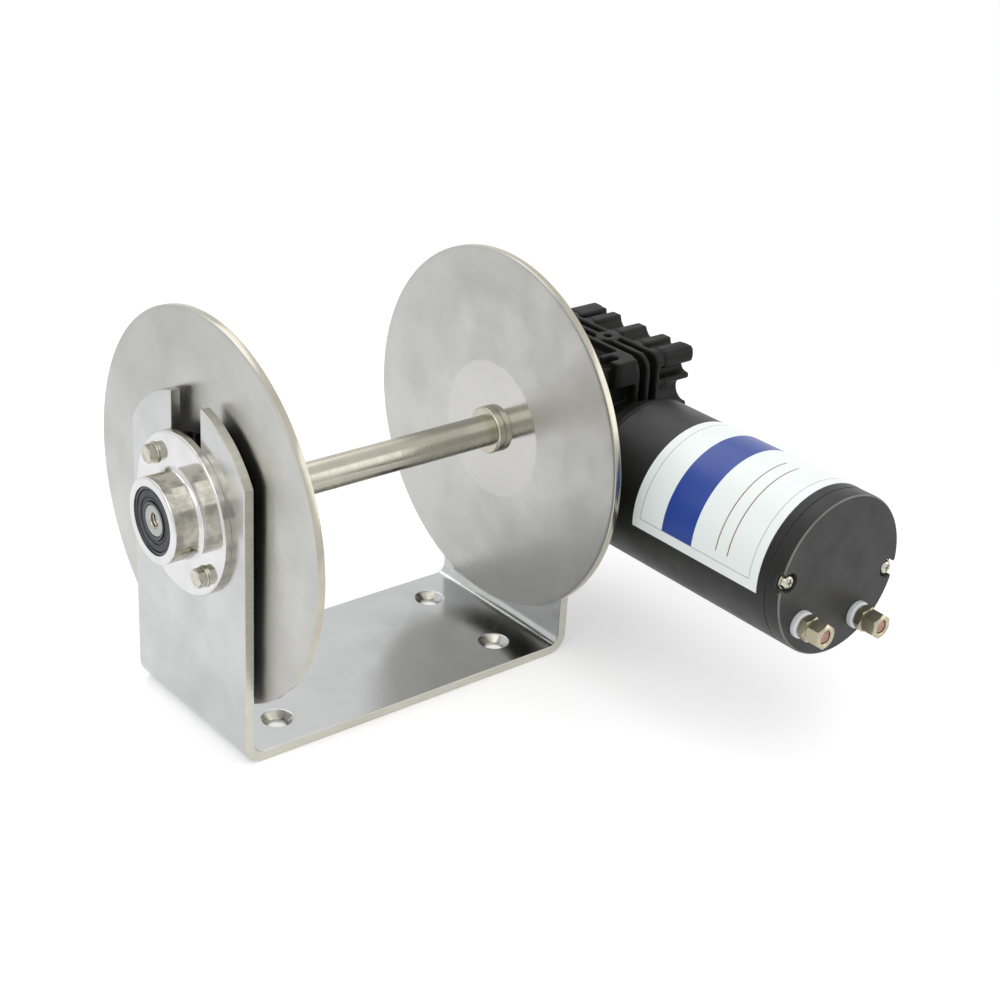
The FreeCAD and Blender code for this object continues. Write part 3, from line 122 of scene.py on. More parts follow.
def linear(code):
    """Scene-linear colour of an sRGB hex code."""
    parts = [int(code[i:i + 2], 16) / 255 for i in (1, 3, 5)]
    return tuple(p / 12.92 if p <= 0.04045 else ((p + 0.055) / 1.055) ** 2.4 for p in parts)


def length(name, description, millimetres):
    return FloatProperty(name=name, description=description, default=millimetres / 1000, min=0.0,
                         subtype="DISTANCE", unit="LENGTH", precision=5)


def angle(name, description, degrees):
    return FloatProperty(name=name, description=description, default=math.radians(degrees),
                         subtype="ANGLE", unit="ROTATION")


def colour(name, description, code):
    return FloatVectorProperty(name=name, description=description, default=linear(code), size=3,
                               min=0.0, max=1.0, subtype="COLOR")


def number(name, description, value, unit="NONE"):
    return FloatProperty(name=name, description=description, default=value, unit=unit)


class WinchSizes(bpy.types.PropertyGroup):
    """Sizes of what the scene adds to the frame."""
    plate_edge: length("Plate edge", "Rounding of the cut edges of the bent plate", 0.6)
    disc_edge: length("Disc edge", "Rounding of the rim of the drum's discs", 0.7)
    cast_cell: length("Cast cell", "Side of the cells that the castings' skin is laid over", 0.6)
    cast_passes: IntProperty(name="Cast passes", description="Passes that soften the castings' edges",
                             default=4, min=0)
    machined_edge: length("Machined edge", "Rounding of turned and milled edges", 0.3)
    cap_edge: length("Cap edge", "Rounding of the edges of the motor's end cap", 0.6)
    disc_patch: length("Disc patch", "Radius of the brighter circle round the shaft", 35.0)
    disc_band: length("Disc band", "Radius where a faint lighter band starts on the disc", 79.0)
    hub_bolt_flats: length("Hub bolt", "Width across the flats of the hub bolts", 8.0)
    mount_bolt_flats: length("Gearbox bolt", "Width across the flats of the gearbox bolts", 10.0)
    cover_screw_head: length("Cover screw", "Diameter of the cover screws' heads", 7.0)
    socket_flats: length("Socket", "Width across the flats of the socket in a cover screw", 3.0)
    nut_flats: length("Terminal nut", "Width across the flats of the terminal nuts", 11.1)
    inner_nut: length("Inner nut", "Height of the nuts next to the bushes", 5.0)
    inner_nut_turn: angle("Inner nut turn", "Turn of the nuts next to the bushes", 38.0)
    outer_nut_turn: angle("Outer nut turn", "Turn of the nuts at the ends of the studs", 54.0)
    stud_radius: length("Stud radius", "Outer radius of the terminal studs", 3.2)
    stud_edge: length("Stud edge", "Rounding of the studs' ends", 0.8)
    stud_pitch: length("Stud pitch", "Pitch of the thread on the terminal studs", 1.0)
    hole_pitch: length("Hole pitch", "Pitch of the thread in the end of the shaft", 1.25)
    thread_depth: length("Thread depth", "Height of a thread's crest", 0.45)
    collar_edge: length("Collar edge", "Chamfer of the shaft's collars", 0.7)
    label_border: length("Label border", "Distance of the border line from the label's edge", 5.0)
    border_width: length("Border line", "Width of the border line", 0.35)
    band_start: length("Band start", "Distance of the blue band from the label's inner edge", 19.9)
    band_width: length("Band width", "Width of the blue band", 20.0)
    band_low: angle("Band end", "Gap between the band and the label's lower edge", 7.6)
    rule_start: length("Rules start", "Distance of the first ruled line from the inner edge", 55.0)
    rule_pitch: length("Rules pitch", "Distance between the ruled lines", 7.5)
    rule_width: length("Rules width", "Width of a ruled line", 0.6)
    rule_height: length("Rules height", "Height of the ruled lines over the film", 0.04)
    rule_low: angle("Rules end", "Gap between the rules and the label's lower edge", 14.0)
    rule_sweep: angle("Rules sweep", "Angle round the motor that the ruled lines cover", 84.0)
    rule_count: IntProperty(name="Rules", description="Number of ruled lines", default=2, min=0)


class WinchColours(bpy.types.PropertyGroup):
    """Colours of the finishes."""
    sheet: colour("Sheet", "Polished stainless plate", "#C1C2C2")
    cut_edge: colour("Cut edge", "Cut edge of the stainless plate", "#CCC9BE")
    disc: colour("Disc", "Turned stainless disc", "#B9B9B6")
    disc_bright: colour("Disc patch", "Brighter circle of the disc", "#BFBEBA")
    rim: colour("Rim", "Turned rim of the disc", "#BBB7A9")
    bar: colour("Bar", "Polished stainless shaft", "#BBB7A9")
    hub: colour("Hub", "Mirror polished faces of the hub", "#D8D8D8")
    hub_side: colour("Hub side", "Turned sides of the hub", "#CBC7BA")
    nickel: colour("Nickel", "Nickel plated bolts", "#C9C6B8")
    nut_plate: colour("Nut", "Nickel plated brass of the terminal nuts", "#BDB69E")
    bearing: colour("Bearing", "Ground bearing rings", "#4C4F57")
    steel: colour("Steel", "Ground gear and bearing steel", "#A9ABAC")
    rubber: colour("Rubber", "Nitrile rubber of the seals", "#34373D")
    cast: colour("Cast", "Satin black paint on the casting", "#161615")
    enamel: colour("Enamel", "Satin black enamel on the motor tube", "#1B1C1B")
    cap: colour("Cap", "Satin black paint on the motor's end cap", "#343434")
    # The cap's edge colour is a painted highlight: a lighter grey that stands in for the light the
    # chamfer catches.
    cap_rub: colour("Cap edge", "Painted highlight on the edge of the motor's end cap", "#6A6A67")
    nylon: colour("Nylon", "White nylon bushes", "#D5D8DA")
    copper: colour("Copper", "Copper studs", "#B08A7C")
    brass: colour("Brass", "Brass parts", "#C2AE7C")
    bronze: colour("Bronze", "Bronze wheel and bushes", "#B08A50")
    film: colour("Film", "White label film", "#EDF4F2")
    band: colour("Band", "Blue printed band", "#1C4096")
    grey_ink: colour("Grey ink", "Border line of the label", "#9AA0A1")
    brown_ink: colour("Brown ink", "Ruled lines of the label", "#8C6458")
    ferrite: colour("Ferrite", "Field magnets", "#3A3A3C")
    winding: colour("Winding", "Enamelled copper wire", "#A4562C")
    board: colour("Board", "Phenolic board", "#6B4A2B")
    carbon: colour("Carbon", "Brushes", "#2B2B2D")
    fibre: colour("Fibre", "Gasket paper", "#1C1B1A")
    floor: colour("Floor", "Floor of the studio", "#F3F3F3")


class WinchStage(bpy.types.PropertyGroup):
    """Camera, lamps and floor."""
    azimuth: angle("Azimuth", "Direction of the camera round the object", -40.39)
    elevation: angle("Elevation", "Height of the camera over the horizon", 25.62)
    roll: angle("Roll", "Turn of the camera about its own axis", 3.40)
    aim_height: length("Aim height", "Height of the point that the camera is placed from", 110.0)
    shift_right: number("Shift right", "Sideways place of the camera", 0.06575, "LENGTH")
    shift_up: number("Shift up", "Upward place of the camera", -0.01723, "LENGTH")
    distance: number("Distance", "Distance of the camera", 0.9137, "LENGTH")
    focal: number("Lens", "Focal length in millimetres", 68.88)
    floor_size: number("Floor", "Side of the floor", 24.0, "LENGTH")
    fade_start: number("Fade start", "Where the floor starts to fade to white", 0.25, "LENGTH")
    fade_end: number("Fade end", "Where the floor is plain white", 0.7, "LENGTH")
    floor_glow: number("Floor glow", "Light that the seen floor adds itself", 0.28)
    ambient: number("Ambient", "Strength of the world's light", 0.78)
    key: number("Key", "Power of the key lamp", 18.0, "POWER")
    fill: number("Fill", "Power of the fill lamp", 13.0, "POWER")
    top: number("Top", "Power of the top lamp", 14.0, "POWER")


# Materials
def add_node(tree, kind, inputs=None, **settings):
    """A node with its settings, and its inputs set to a value or linked from a socket."""
    node = tree.nodes.new(kind)
    for name, value in settings.items():
        setattr(node, name, value)
    for name, value in (inputs or {}).items():
        if isinstance(value, bpy.types.NodeSocket):
            tree.links.new(value, node.inputs[name])
        else:
            node.inputs[name].default_value = value
    return node


def maths(tree, operation, first, second):
    node = add_node(tree, "ShaderNodeMath", {0: first, 1: second}, operation=operation)
    return node.outputs["Value"]


def vector_maths(tree, operation, first, second=(0.0, 0.0, 0.0), result="Vector"):
    node = add_node(tree, "ShaderNodeVectorMath", {0: first, 1: second}, operation=operation)
    return node.outputs[result]


def start_material(name, tint, roughness, metallic=0.0, **sockets):
    """A material of one tone and gloss, with its tree and shader."""
    material = bpy.data.materials.new(name)
    material.use_nodes = True
    shader = material.node_tree.nodes["Principled BSDF"]
    shader.inputs["Base Color"].default_value = (*tint, 1.0)
    shader.inputs["Roughness"].default_value = roughness
    shader.inputs["Metallic"].default_value = metallic
    for socket, value in sockets.items():
        shader.inputs[socket.replace("_", " ")].default_value = value
    material.diffuse_color = (*tint, 1.0)
    return material, material.node_tree, shader


def object_point(tree):
    return add_node(tree, "ShaderNodeTexCoord").outputs["Object"]


def mottle(tree, point, feature, detail=3.0, stretch=None):
    """Noise from 0 to 1 whose patches are about one feature wide, in metres."""
    if stretch:
        point = vector_maths(tree, "MULTIPLY", point, stretch)
    noise = add_node(tree, "ShaderNodeTexNoise", {"Vector": point, "Scale": 1 / feature,
                                                  "Detail": detail, "Roughness": 0.55})
    return noise.outputs["Fac"]


def remap(tree, factor, low, high, start=0.3, end=0.7, **settings):
    node = add_node(tree, "ShaderNodeMapRange", {"Value": factor, "From Min": start, "From Max": end,
                                                 "To Min": low, "To Max": high}, **settings)
    return node.outputs["Result"]


def blend_tones(tree, factor, first, second):
    """Colour between two colours or colour sockets."""
    node = add_node(tree, "ShaderNodeMix", data_type="RGBA")
    tree.links.new(factor, node.inputs["Factor"])
    for socket, value in ((node.inputs[6], first), (node.inputs[7], second)):
        if isinstance(value, bpy.types.NodeSocket):
            tree.links.new(value, socket)
        else:
            socket.default_value = (*value, 1.0)
    return node.outputs[2]


def shade(tint, amount):
    return tuple(part * amount for part in tint)


def vary_tone(tree, shader, factor, first, second):
    """Lets the colour go from one tone to another with a mottle."""
    tone = remap(tree, factor, 0.0, 1.0)
    tree.links.new(blend_tones(tree, tone, first, second), shader.inputs["Base Color"])


def vary_gloss(tree, shader, factor, low, high):
    """Lets the roughness go from one value to another with a mottle."""
    tree.links.new(remap(tree, factor, low, high), shader.inputs["Roughness"])


def relief(tree, shader, strength, height, depth):
    """Bump of a real depth in metres."""
    bump = add_node(tree, "ShaderNodeBump", {"Height": height, "Distance": depth,
                                             "Strength": strength})
    tree.links.new(bump.outputs["Normal"], shader.inputs["Normal"])


def from_axis(tree, point, centre):
    """The point seen from the nearest place on the drum's axis."""
    offset = vector_maths(tree, "SUBTRACT", point, centre)
    return vector_maths(tree, "MULTIPLY", offset, (0.0, 1.0, 1.0))


def lathe_lines(tree, point):
    """Fine marks that run round the drum's axis."""
    return mottle(tree, point, 0.0012, 2.0, (1.0, 0.04, 0.04))


def grain_round(tree, shader, flat, amount):
    """Stretches the shine across grooves that run round the drum's axis."""
    along = vector_maths(tree, "CROSS_PRODUCT", (1.0, 0.0, 0.0), flat)
    world = add_node(tree, "ShaderNodeVectorTransform", {"Vector": along}, vector_type="VECTOR",
                     convert_from="OBJECT", convert_to="WORLD").outputs["Vector"]
    tree.links.new(vector_maths(tree, "NORMALIZE", world), shader.inputs["Tangent"])
    shader.inputs["Anisotropic"].default_value = amount


def sheet_material(tint):
    """Stainless plate as it comes from the mill and lightly polished: it mirrors softly, and its
    gloss is cloudy in patches as wide as a thumb, with hair-fine polishing lines."""
    material, tree, shader = start_material("Stainless plate, polished mill finish", tint, 0.2, 1.0)
    point = object_point(tree)
    clouds = mottle(tree, point, 0.022, 2.0)
    vary_tone(tree, shader, clouds, shade(tint, 0.90), shade(tint, 1.03))
    vary_gloss(tree, shader, clouds, 0.25, 0.17)
    relief(tree, shader, 0.2, mottle(tree, point, 0.004, 3.0, (0.12, 1.0, 6.0)), 0.000015)
    return material


def cut_material(tint):
    """Laser-cut and lightly dressed edge of stainless plate: warmer and duller than the face, with
    fine lines straight through the thickness."""
    material, tree, shader = start_material("Stainless plate, dressed cut edge", tint, 0.32, 1.0)
    lines = mottle(tree, object_point(tree), 0.0022, 2.0, (0.1, 1.0, 1.0))
    vary_tone(tree, shader, lines, shade(tint, 0.88), tint)
    relief(tree, shader, 0.35, lines, 0.00003)
    return material


def disc_material(tint, bright, centre, patch, band):
    """Stainless disc faced on a lathe: matt with soft clouds and a grain of fine rings, polished
    to a clear cloudy mirror in a circle round the shaft, with a faint ring nearer to the rim."""
    material, tree, shader = start_material("Stainless disc, turned and polished", tint, 0.3, 1.0)
    point = object_point(tree)
    flat = from_axis(tree, point, centre)
    radius = vector_maths(tree, "LENGTH", flat, result="Value")
    clouds = mottle(tree, point, 0.024, 3.0)
    cloudy = blend_tones(tree, remap(tree, clouds, 0.0, 1.0), shade(tint, 0.93), shade(tint, 1.05))
    inside = remap(tree, radius, 1.0, 0.0, patch - 0.0006, patch + 0.0006)
    patched = blend_tones(tree, maths(tree, "MULTIPLY", inside, 0.5), cloudy, bright)
    rings = add_node(tree, "ShaderNodeTexNoise", {"W": radius, "Scale": 1 / 0.0016, "Detail": 3.0},
                     noise_dimensions="1D").outputs["Fac"]
    ringed = blend_tones(tree, remap(tree, rings, 0.0, 0.14), patched, shade(tint, 0.88))
    beyond = remap(tree, radius, 0.0, 0.22, band - 0.0012, band + 0.0012)
    tree.links.new(blend_tones(tree, beyond, ringed, shade(bright, 1.02)), shader.inputs["Base Color"])
    matt = remap(tree, clouds, 0.36, 0.26)
    tree.links.new(remap(tree, inside, matt, 0.11, 0.0, 1.0), shader.inputs["Roughness"])
    grain_round(tree, shader, flat, 0.5)
    relief(tree, shader, 0.2, rings, 0.00001)
    return material


def turned_material(name, tint, roughness, depth):
    """Turned and polished metal: rings about the drum's axis along X, bright with a soft edge."""
    material, tree, shader = start_material(name, tint, roughness, 1.0)
    point = object_point(tree)
    lines = lathe_lines(tree, point)
    vary_tone(tree, shader, mottle(tree, point, 0.012, 2.0), shade(tint, 0.88), tint)
    vary_gloss(tree, shader, lines, roughness * 1.3, roughness * 0.8)
    relief(tree, shader, 0.4, lines, depth)
    return material


def streaked_material(tint, centre):
    """Turned side of the hub, polished by hand: a clear mirror with warm and dark streaks that run
    along the axis and change every few degrees, painted reflections of its surroundings."""
    material, tree, shader = start_material("Stainless hub, turned side", tint, 0.1, 1.0)
    point = object_point(tree)
    around = vector_maths(tree, "NORMALIZE", from_axis(tree, point, centre))
    # Painted reflections: the tone changes with the direction round the axis and not along it, as on a
    # mirror cylinder.
    streaks = maths(tree, "ADD", mottle(tree, around, 0.28, 2.0), mottle(tree, point, 0.005, 2.0))
    tone = remap(tree, streaks, 0.0, 1.0, 0.82, 1.12)
    tree.links.new(blend_tones(tree, tone, shade(tint, 0.62), tint), shader.inputs["Base Color"])
    relief(tree, shader, 0.3, lathe_lines(tree, point), 0.000005)
    return material


def cast_material(name, tint, roughness, grain, depth, sheen):
    """Satin black paint over a die casting: soft sheen, grain of the casting showing through."""
    material, tree, shader = start_material(name, tint, roughness, Specular_IOR_Level=sheen)
    point = object_point(tree)
    wear = mottle(tree, point, 0.014, 2.0)
    vary_tone(tree, shader, wear, shade(tint, 0.8), shade(tint, 1.15))
    vary_gloss(tree, shader, wear, roughness * 1.1, roughness * 0.9)
    relief(tree, shader, 1.0, mottle(tree, point, grain, 4.0), depth)
    return material


def plain_material(name, tint, roughness, metallic, feature, depth, contrast=0.12, milky=0.0):
    """A finish with a slight mottle in tone and gloss and a shallow relief. A milky one lets the
    light pass a little way in."""
    material, tree, shader = start_material(name, tint, roughness, metallic,
                                            Subsurface_Weight=milky, Subsurface_Scale=0.002)
    point = object_point(tree)
    patches = mottle(tree, point, feature)
    vary_tone(tree, shader, patches, shade(tint, 1 - contrast), tint)
    vary_gloss(tree, shader, patches, roughness * 1.15, roughness * 0.85)
    relief(tree, shader, 1.0, mottle(tree, point, feature / 6), depth)
    return material


# Name, roughness and depth of the rings
TURNED = {
    # The disc's narrow rim: bright and warm, with a soft edge.
    "rim": ("Stainless disc, turned rim", 0.2, 0.00001),
    # The shaft and its collars: bright and warm, a little cloudy.
    "bar": ("Stainless bar, polished", 0.22, 0.00001),
    # The hub's flat faces: a clear mirror.
    "hub": ("Stainless hub, mirror polished", 0.09, 0.000004),
}

# Name, roughness, width and depth of the grain, and sheen
CAST = {
    # The gearbox: deep black, grainy, hardly shining.
    "cast": ("Cast aluminium, satin black paint", 0.5, 0.0012, 0.00006, 0.2),
    # The motor's tube: black and smooth with a soft long shine.
    "enamel": ("Steel tube, satin black enamel", 0.42, 0.0008, 0.000012, 0.35),
    # The motor's end: dark grey, finely grained.
    "cap": ("Die-cast cap, satin black paint", 0.5, 0.0009, 0.00002, 0.35),
    # Its edge: lighter grey and glossier, a painted highlight where the chamfer catches the light.
    "cap_rub": ("Die-cast cap, rubbed edge", 0.38, 0.0009, 0.00002, 0.5),
}

# Name, roughness, metallic, width of the mottle, depth of the relief, and where they differ from
# the usual ones the contrast of the mottle and the milkiness
PLAIN = {
    # Bright nickel on steel: silvery with a yellow cast, softly worn.
    "nickel": ("Steel, nickel plated", 0.2, 1.0, 0.003, 0.00001, 0.18),
    # Nickel over brass, handled: silvery with a brassy cast, satin.
    "nut_plate": ("Brass, nickel plated", 0.33, 1.0, 0.003, 0.00001, 0.15),
    # Ground and oiled rings: dark mirror.
    "bearing": ("Bearing steel, ground and oiled", 0.22, 1.0, 0.004, 0.000004),
    # Ground steel: cool grey with an even shine.
    "steel": ("Steel, ground", 0.28, 1.0, 0.005, 0.000008),
    # Dense rubber: dull, nearly black with a blue cast.
    "rubber": ("Nitrile rubber, moulded", 0.55, 0.0, 0.004, 0.00002),
    # Milky plastic: off-white, and light passes a little way into it.
    "nylon": ("Nylon, moulded white", 0.38, 0.0, 0.005, 0.00001, 0.05, 0.1),
    # Copper that has lain in air: pinkish, in darker and lighter patches.
    "copper": ("Copper, tarnished", 0.35, 1.0, 0.002, 0.00002, 0.3),
    # Pressed brass: pale yellow, softly shining.
    "brass": ("Brass, pressed", 0.3, 1.0, 0.004, 0.00001),
    # Cut bronze: brownish yellow, softly shining.
    "bronze": ("Bronze, machined", 0.32, 1.0, 0.004, 0.00001),
    # Printed vinyl film: smooth with a satin shine.
    "film": ("Vinyl film, white", 0.32, 0.0, 0.03, 0.000004, 0.03),
    "band": ("Vinyl film, blue print", 0.32, 0.0, 0.03, 0.000004, 0.06),
    "grey_ink": ("Vinyl film, grey print", 0.35, 0.0, 0.01, 0.000004),
    "brown_ink": ("Vinyl film, brown print", 0.35, 0.0, 0.01, 0.000004),
    # Sintered ferrite: dull dark grey.
    "ferrite": ("Ferrite, sintered", 0.6, 0.0, 0.002, 0.00002),
    # Varnished wire: reddish, ribbed and half shining.
    "winding": ("Copper wire, enamelled", 0.3, 0.6, 0.0012, 0.0001, 0.35),
    # Sawn board: matt brown.
    "board": ("Phenolic board, sawn", 0.5, 0.0, 0.006, 0.00002),
    # Pressed carbon: matt, nearly black, with a faint metal shine.
    "carbon": ("Carbon, pressed", 0.55, 0.2, 0.002, 0.00002),
    # Oiled paper: dull and dark.
    "fibre": ("Gasket paper, oiled", 0.75, 0.0, 0.002, 0.00003),
}


def make_materials(context):
    """Every finish of the winch, by the name that its colour has too."""
    sizes = context.scene.winch_sizes
    centre = tuple(drum_centre())

    def tint(name):
        return tuple(getattr(context.scene.winch_colours, name))

    made = {"sheet": sheet_material(tint("sheet")),
            "cut_edge": cut_material(tint("cut_edge")),
            "disc": disc_material(tint("disc"), tint("disc_bright"), centre, sizes.disc_patch,
                                  sizes.disc_band),
            "hub_side": streaked_material(tint("hub_side"), centre)}
    for table, make in ((TURNED, turned_material), (CAST, cast_material), (PLAIN, plain_material)):
        for name, (title, *numbers) in table.items():
            made[name] = make(title, tint(name), *numbers)
    return made


finishes = {}


def finish_of(context, name):
    """The finish with this name. All of them are made when the first is asked for."""
    if not finishes:
        finishes.update(make_materials(context))
    return finishes[name]


def set_materials(item, *materials):
    item.data.materials.clear()
    for material in materials:
        item.data.materials.append(material)


def finish(context, item, *names):
    """Gives an object the finishes with these names."""
    set_materials(item, *[finish_of(context, name) for name in names])


# Shapes
def middle_of(node):
    low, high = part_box(node)
    return (low + high) / 2


def drum_centre():
    """A point on the drum's axis."""
    middle = middle_of("drum_shaft")
    return Vector((0.0, middle.y, middle.z))


def motor_centre():
    """A point on the motor's axis."""
    middle = middle_of("motor_tube")
    return Vector((middle.x, 0.0, middle.z))


def new_object(name, mesh):
    item = bpy.data.objects.new(name, mesh)
    bpy.context.scene.collection.objects.link(item)
    return item


def merge_doubles(work):
    bmesh.ops.remove_doubles(work, verts=work.verts, dist=MERGE_DISTANCE)


def turn_outwards(work):
    bmesh.ops.recalc_face_normals(work, faces=work.faces)


def join_flat_faces(work):
    bmesh.ops.dissolve_limit(work, angle_limit=FLAT_ANGLE, verts=work.verts, edges=work.edges,
                             use_dissolve_boundaries=False, delimit={"NORMAL"})


def drop_loose_points(work):
    loose = [vertex for vertex in work.verts if not vertex.link_faces]
    bmesh.ops.delete(work, geom=loose, context="VERTS")


def rework(mesh, *steps):
    """Takes a mesh through steps that each change its editable form."""
    work = bmesh.new()
    work.from_mesh(mesh)
    for step in steps:
        step(work)
    work.to_mesh(mesh)
    work.free()


def smooth(mesh, limit=SMOOTH_ANGLE):
    mesh.polygons.foreach_set("use_smooth", [True] * len(mesh.polygons))
    mesh.set_sharp_from_angle(angle=limit)


def rings_mesh(name, rings, closed=False):
    """Skin over rings of equally many points. The first and last ring are joined when closed,
    and filled with a face when not."""
    count = len(rings[0])
    vertices = [tuple(point) for ring in rings for point in ring]
    faces = []
    pairs = len(rings) if closed else len(rings) - 1
    for row in range(pairs):
        here = row * count
        there = (row + 1) % len(rings) * count
        for step in range(count):
            after = (step + 1) % count
            faces.append((here + step, here + after, there + after, there + step))
    if not closed:
        faces.append(tuple(range(count)))
        faces.append(tuple(range(len(vertices) - count, len(vertices))))
    mesh = bpy.data.meshes.new(name)
    mesh.from_pydata(vertices, [], faces)
    mesh.validate()
    rework(mesh, turn_outwards)
    return mesh


def angles(steps):
    """Evenly spread directions round an axis."""
    return [2 * math.pi * step / steps for step in range(steps)]


def polar(radius, turn, height):
    return Vector((radius * math.cos(turn), radius * math.sin(turn), height))


def circle(radius, height):
    return [polar(radius, turn, height) for turn in angles(HEAD_STEPS)]


def circles(*places):
    """Circles of the given (radius, height)."""
    return [circle(radius, height) for radius, height in places]


def hexagon_ring(flats, height, slope=0.0, top_radius=0.0):
    """Points of a hexagon. With a slope its corners dip like those of a chamfered bolt head."""
    sector = math.pi / 3
    points = []
    for turn in angles(HEAD_STEPS):
        off = (turn + sector / 2) % sector - sector / 2
        reach = flats / 2 / math.cos(off)
        dip = max(0.0, reach - top_radius) * slope
        points.append(polar(reach, turn, height - dip))
    return points


def star_ring(reach, waist, height):
    """Points of a cross with four arms."""
    sector = math.pi / 2
    points = []
    for turn in angles(HEAD_STEPS):
        off = (turn + sector / 2) % sector - sector / 2
        in_arm = abs(math.tan(off)) * reach < waist
        points.append(polar(reach / math.cos(off) if in_arm else waist * 1.5, turn, height))
    return points


def rounded(profile, radius):
    """An open profile of (along, out) points with its inner corners rounded."""
    steps = 3
    most = 0.45
    result = [profile[0]]
    for before, corner, after in zip(profile, profile[1:], profile[2:]):
        corner = Vector(corner)
        back = Vector(before) - corner
        ahead = Vector(after) - corner
        reach = min(radius, back.length * most, ahead.length * most)
        start = corner + back.normalized() * reach
        end = corner + ahead.normalized() * reach
        for step in range(steps + 1):
            share = step / steps
            inner = start.lerp(corner, share)
            outer = corner.lerp(end, share)
            result.append(tuple(inner.lerp(outer, share)))
    result.append(profile[-1])
    return result


def lathe(name, profile, centre):
    """Closed ring body turned about a line along X: profile is a loop of (x, radius)."""
    rings = [[Vector((x, centre.y + radius * math.cos(turn), centre.z + radius * math.sin(turn)))
              for turn in angles(LATHE_STEPS)] for x, radius in profile]
    return rings_mesh(name, rings, closed=True)


def solids(node):
    """Lowest and highest corner of each solid of a CAD node."""
    work = bmesh.new()
    work.from_mesh(frame["nodes"][node].data)
    merge_doubles(work)
    boxes = []
    waiting = set(work.verts)
    while waiting:
        start = waiting.pop()
        group = [start]
        for vertex in group:
            for edge in vertex.link_edges:
                other = edge.other_vert(vertex)
                if other in waiting:
                    waiting.discard(other)
                    group.append(other)
        places = [vertex.co for vertex in group]
        low = Vector([min(p[i] for p in places) for i in range(3)])
        high = Vector([max(p[i] for p in places) for i in range(3)])
        boxes.append((low, high))
    work.free()
    return sorted(boxes, key=lambda box: tuple(box[0]))


def middles(node, axis, plane):
    """Middle of each solid of a node, with one coordinate set to a plane."""
    points = []
    for low, high in solids(node):
        middle = (low + high) / 2
        middle[axis] = plane
        points.append(middle)
    return points


def applied(item):
    """Makes the object's modifiers real in its mesh."""
    graph = bpy.context.evaluated_depsgraph_get()
    mesh = bpy.data.meshes.new_from_object(item.evaluated_get(graph), depsgraph=graph)
    item.modifiers.clear()
    old = item.data
    item.data = mesh
    bpy.data.meshes.remove(old)


def even_normals(item):
    """Keeps the wide faces flat beside their rounded edges."""
    modifier = item.modifiers.new("Even", "WEIGHTED_NORMAL")
    modifier.keep_sharp = True
    modifier.weight = 100
    applied(item)


def merged_copy(node):
    """A copy of a CAD node's mesh without finishes and stored normals, merged by distance."""
    mesh = frame["nodes"][node].data.copy()
    mesh.name = node + "_surface"
    mesh.materials.clear()
    for name in ("custom_normal", "sharp_edge", "sharp_face"):
        if name in mesh.attributes:
            mesh.attributes.remove(mesh.attributes[name])
    rework(mesh, merge_doubles, turn_outwards)
    return mesh


def dressed(node, edge):
    """A copy of a CAD node's surface with clean faces and rounded edges."""
    mesh = merged_copy(node)
    rework(mesh, join_flat_faces)
    item = new_object(node + "_skin", mesh)
    if edge:
        bevel = item.modifiers.new("Edges", "BEVEL")
        bevel.width = edge
        bevel.segments = EDGE_STEPS
        bevel.limit_method = "ANGLE"
        bevel.angle_limit = EDGE_ANGLE
        bevel.use_clamp_overlap = False
        bevel.miter_outer = "MITER_ARC"
        applied(item)
    smooth(item.data)
    even_normals(item)
    return item


def cast_skin(node, cell, passes):
    """A casting's surface with soft edges: laid again over small cells, evened out and thinned."""
    item = new_object(node + "_skin", merged_copy(node))
    cells = item.modifiers.new("Cells", "REMESH")
    cells.mode = "VOXEL"
    cells.voxel_size = cell
    even = item.modifiers.new("Even", "SMOOTH")
    even.factor = 0.5
    even.iterations = passes
    thin = item.modifiers.new("Thin", "DECIMATE")
    thin.ratio = KEPT_SHARE
    applied(item)
    smooth(item.data, math.pi)
    return item


def paint_faces(item, test, index):
    """Gives the faces for which test(middle, normal) holds another of the object's materials."""
    for face in item.data.polygons:
        if test(face.center, face.normal):
            face.material_index = index


def seat(item, node, slot, *nodes):
    """Puts a finished piece on the body of a CAD node, in the place of it and any others named."""
    body = frame["nodes"][node]["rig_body"]
    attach(item, body)
    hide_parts(node, *nodes)


def dress_nodes(context, names, edge, material, slot):
    for name in names:
        item = dressed(name, edge)
        finish(context, item, material)
        seat(item, name, slot)


# Geometry Nodes
def new_tree(name, sockets):
    """A geometry tree with named inputs, and the sockets that give them."""
    tree = bpy.data.node_groups.new(name, "GeometryNodeTree")
    tree.interface.new_socket("Geometry", in_out="INPUT", socket_type="NodeSocketGeometry")
    for label, kind in sockets.items():
        tree.interface.new_socket(label, in_out="INPUT", socket_type="NodeSocket" + kind)
    tree.interface.new_socket("Geometry", in_out="OUTPUT", socket_type="NodeSocketGeometry")
    return tree, tree.nodes.new("NodeGroupInput").outputs


def end_tree(tree, geometry, material):
    real = add_node(tree, "GeometryNodeRealizeInstances", {"Geometry": geometry})
    painted = add_node(tree, "GeometryNodeSetMaterial", {"Geometry": real.outputs["Geometry"],
                                                         "Material": material})
    target = tree.nodes.new("NodeGroupOutput")
    tree.links.new(painted.outputs["Geometry"], target.inputs["Geometry"])
    return tree


def run_tree(name, tree, mesh, values):
    """The tree's result as an object with a plain mesh."""
    item = new_object(name, mesh)
    modifier = item.modifiers.new("Nodes", "NODES")
    modifier.node_group = tree
    for socket in tree.interface.items_tree:
        if socket.in_out == "INPUT" and socket.name in values:
            modifier[socket.identifier] = values[socket.name]
    applied(item)
    set_materials(item, values["Material"])
    return item


